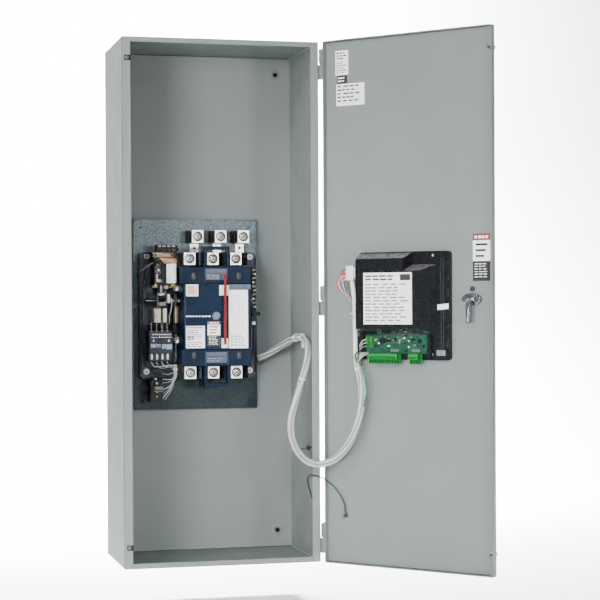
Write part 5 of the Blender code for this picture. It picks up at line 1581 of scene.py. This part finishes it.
def build_controller_details():
    """Lip, catches, screws, side grilles and labels of the controller, and its print."""
    (a0, a1), (b0, b1), _ = span("controller_base", DOOR)
    base = Piece("controller_base_trim", DOOR, "door", "controller_base")
    lip = rounded((a0 + 0.0010, a1 - 0.0010), (b0 + 0.0010, b1 - 0.0010), 0.0060, 6)
    low = rounded((a0 + 0.0004, a1 - 0.0004), (b0 + 0.0004, b1 - 0.0004), 0.0060, 6)
    base.prism(low, (0.0004, 0.0016), Look.glossy, bevel=0.0003, top=lip)
    for u, v, mat in ((0.3027, 0.1040, Look.steel), (0.3003, -0.1197, Look.dark_steel),
                      (0.1110, 0.1040, Look.dark_steel), (0.1110, -0.1250, Look.dark_steel)):
        pan_screw(base, u, v, 0.0120, 0.0036, mat)
    for k in range(6):
        b = 0.090 - k * 0.036
        base.box((a1 - 0.0052, a1 - 0.0016), (b - 0.006, b + 0.006), (0.0115, 0.0128), Look.glossy)
    # Two lighter lines down the side: painted highlights.
    for u in (0.3235, 0.3300):
        base.box((u, u + 0.0012), (-0.1180, 0.0990), (0.0119, 0.0127), Look.base_highlight)
    base.prism([(0.3150, -0.0190), (0.3440, -0.0165), (0.3440, -0.0045), (0.3150, -0.0070)],
               (0.0118, 0.0130), Look.white_label, bevel=0.0001)
    top = sticker(base, (0.3120, 0.3350), (-0.1215, -0.1095), 0.0120, Look.silver_label)
    text_bars(base, (0.3130, 0.3340), (-0.1205, -0.1105), top, 3, Look.ink, 0.4, 0.95)
    base.done()

    cover = Piece("controller_cover_trim", DOOR, "door", "controller_cover")
    w = span("controller_cover", DOOR)[2][1]
    top = sticker(cover, (0.1390, 0.2710), (-0.0510, 0.0660), w, Look.white_label)
    for k in range(8):
        b = -0.0470 + 0.0150 * k
        cover.box((0.1415, 0.2685), (b, b + 0.0003), (top, top + 0.00008), Look.faint_ink, bevel=0)
    for u in (0.1415, 0.1700, 0.2120, 0.2400, 0.2680):
        cover.box((u, u + 0.0003), (-0.0470, 0.0435), (top, top + 0.00008), Look.faint_ink,
                  bevel=0)
    text_bars(cover, (0.1440, 0.2350), (0.0470, 0.0620), top, 2, Look.ink, 0.5, 0.95, 0.2, 4)
    cover.box((0.2390, 0.2670), (0.0480, 0.0620), (top, top + 0.00008), Look.ink, bevel=0)
    text_bars(cover, (0.1435, 0.2670), (-0.0460, 0.0430), top + 0.00004, 12, Look.faint_ink, 0.42,
              0.98, 0.25, 5)
    for k in range(9):
        v = -0.0460 + 0.0120 * k
        cover.box((0.2905, 0.2930), (v, v + 0.0036), (0.030, 0.044), Look.black)
    cover.done()


def build_board_details():
    """Parts on the strip of circuit board that shows below the cover, and its terminals."""
    face = 0.0144
    board = Piece("board_parts", DOOR, "door", "controller_board")
    for u, v, wide, tall, mat in (
            (0.1285, -0.0960, 0.0060, 0.0090, Look.black),
            (0.1492, -0.0880, 0.0062, 0.0052, Look.tan),
            (0.1492, -0.1010, 0.0070, 0.0040, Look.black),
            (0.1850, -0.0890, 0.0120, 0.0060, Look.black),
            (0.1850, -0.1010, 0.0060, 0.0040, Look.cream),
            (0.2030, -0.0860, 0.0050, 0.0080, Look.black),
            (0.2150, -0.0900, 0.0040, 0.0090, Look.tan),
            (0.2520, -0.0860, 0.0110, 0.0060, Look.black),
            (0.2690, -0.0900, 0.0060, 0.0090, Look.black),
            (0.2790, -0.1010, 0.0050, 0.0060, Look.black),
            (0.2330, -0.1110, 0.0040, 0.0050, Look.black),
            (0.2000, -0.0985, 0.0030, 0.0018, Look.black),
            (0.2560, -0.0985, 0.0034, 0.0018, Look.cream),
            (0.2640, -0.0985, 0.0034, 0.0018, Look.black)):
        board.box((u - wide / 2, u + wide / 2), (v - tall / 2, v + tall / 2), (face, face + 0.0032),
                  mat)
    for u0 in (0.1900, 0.2470):
        for k in range(6):
            u = u0 + 0.0038 * k
            board.box((u, u + 0.0024), (-0.1143, -0.1077), (face, face + 0.0002), Look.pale_green,
                      bevel=0)
            board.turned([(0.0011, 0), (0.0009, 0.0006), (0, 0.0008)], (u + 0.0012, -0.1045, face),
                         Look.dark_steel, sides=14)
    board.turned([(0.0024, 0), (0.0024, 0.0020), (0.0014, 0.0026), (0, 0.0026)],
                 (0.1571, -0.0942, face), Look.lug)
    for u, v in ((0.2272, -0.0824), (0.2394, -0.0891), (0.2393, -0.1027)):
        board.turned([(0.0022, 0), (0.0022, 0.0016), (0.0012, 0.0020), (0.0008, 0.0010),
                      (0, 0.0010)], (u, v, face), Look.lug)
    board.turned([(0.0072, 0), (0.0072, 0.0060), (0.0064, 0.0068), (0.0030, 0.0070),
                  (0.0026, 0.0066), (0, 0.0066)], (0.1682, -0.0885, face), Look.black, sides=32)
    board.turned([(0.0060, 0.0066), (0.0060, 0.0072), (0.0054, 0.0072), (0.0054, 0.0066)],
                 (0.1682, -0.0885, face), Look.dark_steel, sides=32, hollow=True)
    for k in range(12):
        u = 0.1360 + 0.0118 * k
        board.rod((u, -0.0805 - 0.0035 * (k % 3), face + 0.0006),
                  (u + 0.0052, -0.0805 - 0.0035 * (k % 3), face + 0.0006), 0.0011,
                  Look.tan if k % 2 else Look.pale_green, sides=10)
    board.done()

    for name, count in (("terminal_block_long", 12), ("terminal_block_short", 4),
                        ("terminal_block_small", 3)):
        (a0, a1), (b0, b1), c = span(name, DOOR)
        block = Piece(name + "_detail", DOOR, "door", name)
        upright = (b1 - b0) > (a1 - a0)
        # Darker green separators and rings round the screws: painted shade between the terminals and in
        # the screws' recesses.
        for k in range(count):
            if upright:
                u, v = middle((a0, a1)), b0 + (b1 - b0) * (k + 0.5) / count
                pitch = (b1 - b0) / count
                block.box((a0 - 0.0002, a1 - 0.002), (v + pitch * 0.44, v + pitch * 0.50),
                          (c[1] - 0.004, c[1] + 0.0003), Look.green_shade, bevel=0)
            else:
                u, v = a0 + (a1 - a0) * (k + 0.5) / count, b1 - (b1 - b0) * 0.40
                pitch = (a1 - a0) / count
                block.box((u + pitch * 0.44, u + pitch * 0.50), (b0 - 0.0002, b1),
                          (c[1] - 0.006, c[1] + 0.0003), Look.green_shade, bevel=0)
                block.box((u - pitch * 0.34, u + pitch * 0.34), (b0 - 0.0003, b0 + 0.0006),
                          (c[0] + 0.0025, c[1] - 0.0060), Look.green_shade, bevel=0)
            block.turned([(pitch * 0.40, 0), (pitch * 0.38, 0.0004), (pitch * 0.34, -0.0008)],
                         (u, v, c[1]), Look.green_shade)
            pan_screw(block, u, v, c[1] - 0.0010, min(0.0024, pitch * 0.28), Look.dark_steel,
                      slot_outline, 0.4 + 0.9 * k)
        block.done()


def build_door_wiring():
    """Loose wires between the harness, the connector, the controller and its terminals."""
    piece = Piece("controller_wires", DOOR, "door", "harness_connector")
    (a0, a1), (b0, b1), c = span("harness_connector", DOOR)
    for k in range(5):
        v = b0 + 0.003 + (b1 - b0 - 0.006) * k / 4
        piece.box((a0 + 0.002, a1 - 0.002), (v - 0.0018, v + 0.0018), (c[1] - 0.0002, c[1] + 0.0010),
                  Look.white_paint)
        piece.turned([(0.0013, 0), (0.0013, 0.0004), (0, 0.0004)],
                     (a0 + 0.0055, v, c[1] + 0.0010), Look.brass, sides=14)
    piece.box((a1 - 0.0004, a1 + 0.0022), (b0 + 0.006, b1 - 0.006), (c[0] + 0.006, c[1] - 0.003),
              Look.white_paint)
    piece.box((0.0640, 0.0745), (0.0570, 0.0660), (0.0260, 0.0330), Look.red_wire, bevel=0.0014)
    reds = ((0.0600, 0.0650), (0.0580, 0.0610), (0.0600, 0.0580))
    for k, (u, v) in enumerate(reds):
        piece.wire([(a0 + 0.001, v, c[1] - 0.006), (0.0700, v + 0.003, c[1] - 0.002),
                    (u + 0.004, v, c[1] - 0.003), (u - 0.004, v - 0.014, c[1] - 0.004),
                    (0.0475 + 0.002 * k, 0.0430, 0.0260), (0.0560 + 0.002 * k, 0.0250, 0.0230),
                    (0.0740, 0.0120, 0.0210), (0.0850, 0.0020 - 0.002 * k, 0.0190),
                    (0.0870, -0.0200, 0.0175)], 0.0012,
                   Look.red_wire if k < 2 else Look.pink_wire)
    for k in range(4):
        v = b0 + 0.004 + 0.007 * k
        piece.wire([(a0 + 0.001, v, c[1] - 0.008), (0.0680 - 0.001 * k, v - 0.004, c[1] - 0.006),
                    (0.0640 + 0.0015 * k, 0.0440, 0.0260), (0.0690 + 0.0015 * k, 0.0256, 0.0240),
                    (0.0800 + 0.001 * k, 0.0120, 0.0210), (0.0860, -0.0040, 0.0190),
                    (0.0866 + 0.0008 * k, -0.0240, 0.0175)], 0.0011,
                   (Look.pink_wire, Look.tan_wire, Look.black_wire, Look.dark_green_wire)[k])
    band(piece, (0.0868, -0.0265, 0.0175), (0, 1, 0), 0.0052, 0.0034, Look.nylon)
    piece.rod((0.0868, -0.0265, 0.0175), (0.0868, -0.0265, 0.0260), 0.0018, Look.nylon, sides=6)
    piece.done()

    wires = Piece("terminal_wires", DOOR, "door", "harness_breakout")
    wires.wire([(0.1015, -0.1153, 0.0220), (0.0997, -0.1235, 0.0285), (0.1052, -0.1338, 0.0295),
                (0.1124, -0.1411, 0.0295), (0.1177, -0.1486, 0.0295), (0.1254, -0.1600, 0.0285),
                (0.1311, -0.1749, 0.0285), (0.1344, -0.1909, 0.0300), (0.1339, -0.2047, 0.0315),
                (0.1302, -0.2220, 0.0325), (0.1265, -0.2400, 0.0330)], 0.0018, Look.green_wire)
    for k in range(5):
        u = 0.1134 + 0.0050 * k
        wires.wire([(u, -0.1150 - 0.001 * (k % 2), 0.0240), (u - 0.004, -0.1200, 0.0250),
                    (0.1090 + 0.001 * k, -0.1290, 0.0240), (0.1060 - 0.001 * k, -0.1400, 0.0215),
                    (0.1020, -0.1500, 0.0190)], 0.0011,
                   (Look.grey_wire, Look.white_wire, Look.pink_wire, Look.grey_wire,
                    Look.tan_wire)[k])
    for k in range(3):
        wires.wire([(0.1270, -0.0860 - 0.0075 * k, 0.0200), (0.1180, -0.0890 - 0.0075 * k, 0.0230),
                    (0.1080, -0.1010 - 0.005 * k, 0.0220), (0.1010, -0.1140 - 0.004 * k, 0.0200),
                    (0.0985 - 0.001 * k, -0.1290, 0.0180)], 0.0010,
                   (Look.white_wire, Look.pink_wire, Look.grey_wire)[k])
    wires.done()


def build_panel_details():
    """The operator panel outside: display window, lamps, keypad and a plain notice."""
    (a0, a1), (b0, b1), c = span("operator_panel", OUTSIDE)
    face = c[1]
    centre = middle((a0, a1))
    piece = Piece("operator_panel_face", OUTSIDE, "door", "operator_panel")
    top = sticker(piece, (a0 + 0.006, a1 - 0.006), (b0 + 0.006, b1 - 0.006), face, Look.panel_grey)
    top2 = sticker(piece, (centre - 0.048, centre + 0.048), (0.028, 0.078), top, Look.black_label)
    sticker(piece, (centre - 0.040, centre + 0.040), (0.036, 0.070), top2, Look.display)
    for k in range(6):
        v = 0.012 - 0.0145 * k
        piece.turned([(0.0040, 0), (0.0040, 0.0004), (0.0030, 0.0012), (0.0016, 0.0017),
                      (0, 0.0018)], (centre - 0.055, v, top), Look.red_lamp if k % 2 else
                     Look.green_lamp)
        text_bars(piece, (centre - 0.047, centre - 0.016), (v - 0.003, v + 0.003), top, 1,
                  Look.ink, 0.6, 0.95)
    for row in range(3):
        for col in range(3):
            u, v = centre + 0.010 + 0.0185 * col, 0.008 - 0.0185 * row
            outline = rounded((u - 0.0068, u + 0.0068), (v - 0.0062, v + 0.0062), 0.0020)
            piece.prism(outline, (top, top + 0.0008), Look.black, bevel=0.0003)
            piece.turned([(0.0026, 0), (0.0024, 0.0003), (0, 0.0004)], (u, v, top + 0.0008),
                         Look.white_label, sides=20)
    piece.done()

    (a0, a1), (b0, b1), c = span("test_button", OUTSIDE)
    button = Piece("test_button_cap", OUTSIDE, "test_button", "test_button")
    centre = (middle((a0, a1)), middle((b0, b1)))
    radius = min(a1 - a0, b1 - b0) / 2
    button.turned([(radius * 0.92, -0.0002), (radius * 0.84, 0.0003), (radius * 0.5, 0.0000),
                   (0, -0.0001)], (centre[0], centre[1], c[1]), Look.nylon, sides=36)
    button.turned([(radius * 0.60, 0.0000), (radius * 0.55, 0.0003), (radius * 0.50, 0.0001)],
                  (centre[0], centre[1], c[1]), Look.panel_grey, sides=36)
    button.done()


CABINET_EDGE = 0.2311


def build_hinge_details():
    for where in ("top", "middle", "bottom"):
        a, b, c = span("hinge_pin_" + where, CABINET)
        pins = Piece("hinge_detail_" + where, CABINET, "cabinet", "cabinet_hinge_leaf_" + where)
        centre = (middle(a), middle(c))
        # A dark strip of painted shade in the gap beside the hinge.
        pins.box((CABINET_EDGE, CABINET_EDGE + 0.0024), (middle(b) + 0.001, b[1] - 0.001),
                 (c[0] - 0.0010, c[0] + 0.0014), Look.paint_shadow)
        for y, way in ((b[1], 1), (b[0], -1)):
            pins.turned([(0.0024, -0.0004), (0.0028, 0.0001), (0.0022, 0.0006), (0, 0.0007)],
                        (centre[0], y, centre[1]), Look.steel, axis=(0, way, 0))
        pins.done()


# ---------------------------------------------------------------- CAD nodes' materials
def assign(mat, *names):
    for name in names:
        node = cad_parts[name]
        for slot in node.material_slots:
            slot.material = mat


def finish_nodes():
    names = list(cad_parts)
    assign(Look.paint, "cabinet_shell", "door_panel")
    assign(Look.leaf, *[n for n in names if "hinge_leaf" in n])
    assign(Look.steel, *[n for n in names if n.startswith(("hinge_pin", "captive_screw"))])
    assign(Look.chrome, "latch_cam")
    assign(Look.faint_metal, "main_shaft", "solenoid_core")
    assign(Look.chrome, "latch_escutcheon")
    assign(Look.iron, "drive_link")
    assign(Look.black, "solenoid_frame", "latch_handle", "clip_nut_top", "clip_nut_bottom",
           "terminal_strip",
           "relay_terminal_block", "aux_contact_block", "operator_panel")
    assign(Look.brass, "door_ground_stud")
    assign(Look.plate, "switch_mounting_plate")
    assign(Look.base, "switch_base")
    assign(Look.cover, "main_cover")
    assign(Look.relay, "control_relay")
    assign(Look.end_cover, "upper_cover", "lower_cover")
    assign(Look.lug, *[n for n in names if "_lug_" in n])
    assign(Look.coil, "solenoid_coil")
    assign(Look.relay, "relay_armature")
    assign(Look.nylon, "harness_tie_mount", "handle_clip_top",
           "handle_clip_bottom", "harness_connector", "test_button", "harness_breakout")
    assign(Look.dial, "position_indicator")
    assign(Look.red, "maintenance_handle")
    assign(Look.glossy, "controller_base", "controller_cover")
    assign(Look.board, "controller_board")
    assign(Look.green, *[n for n in names if n.startswith("terminal_block")])


build_camera()
build_stage()
harness_route = build_harness()
build_ground_wire()
finish_nodes()

build_cabinet_details()
build_harness_ties(harness_route)
build_plate_details()
build_base_details()
build_lug_screws()
build_cover_details()
build_solenoid_details()
build_strip_details()
build_link_details()
build_relay_details()
build_base_wiring()
build_aux_details()
build_indicator_details()
build_handle_details()
build_door_labels()
build_captive_screw_details()
build_latch_details()
build_ground_details()
build_controller_details()
build_board_details()
build_door_wiring()
build_panel_details()
build_hinge_details()
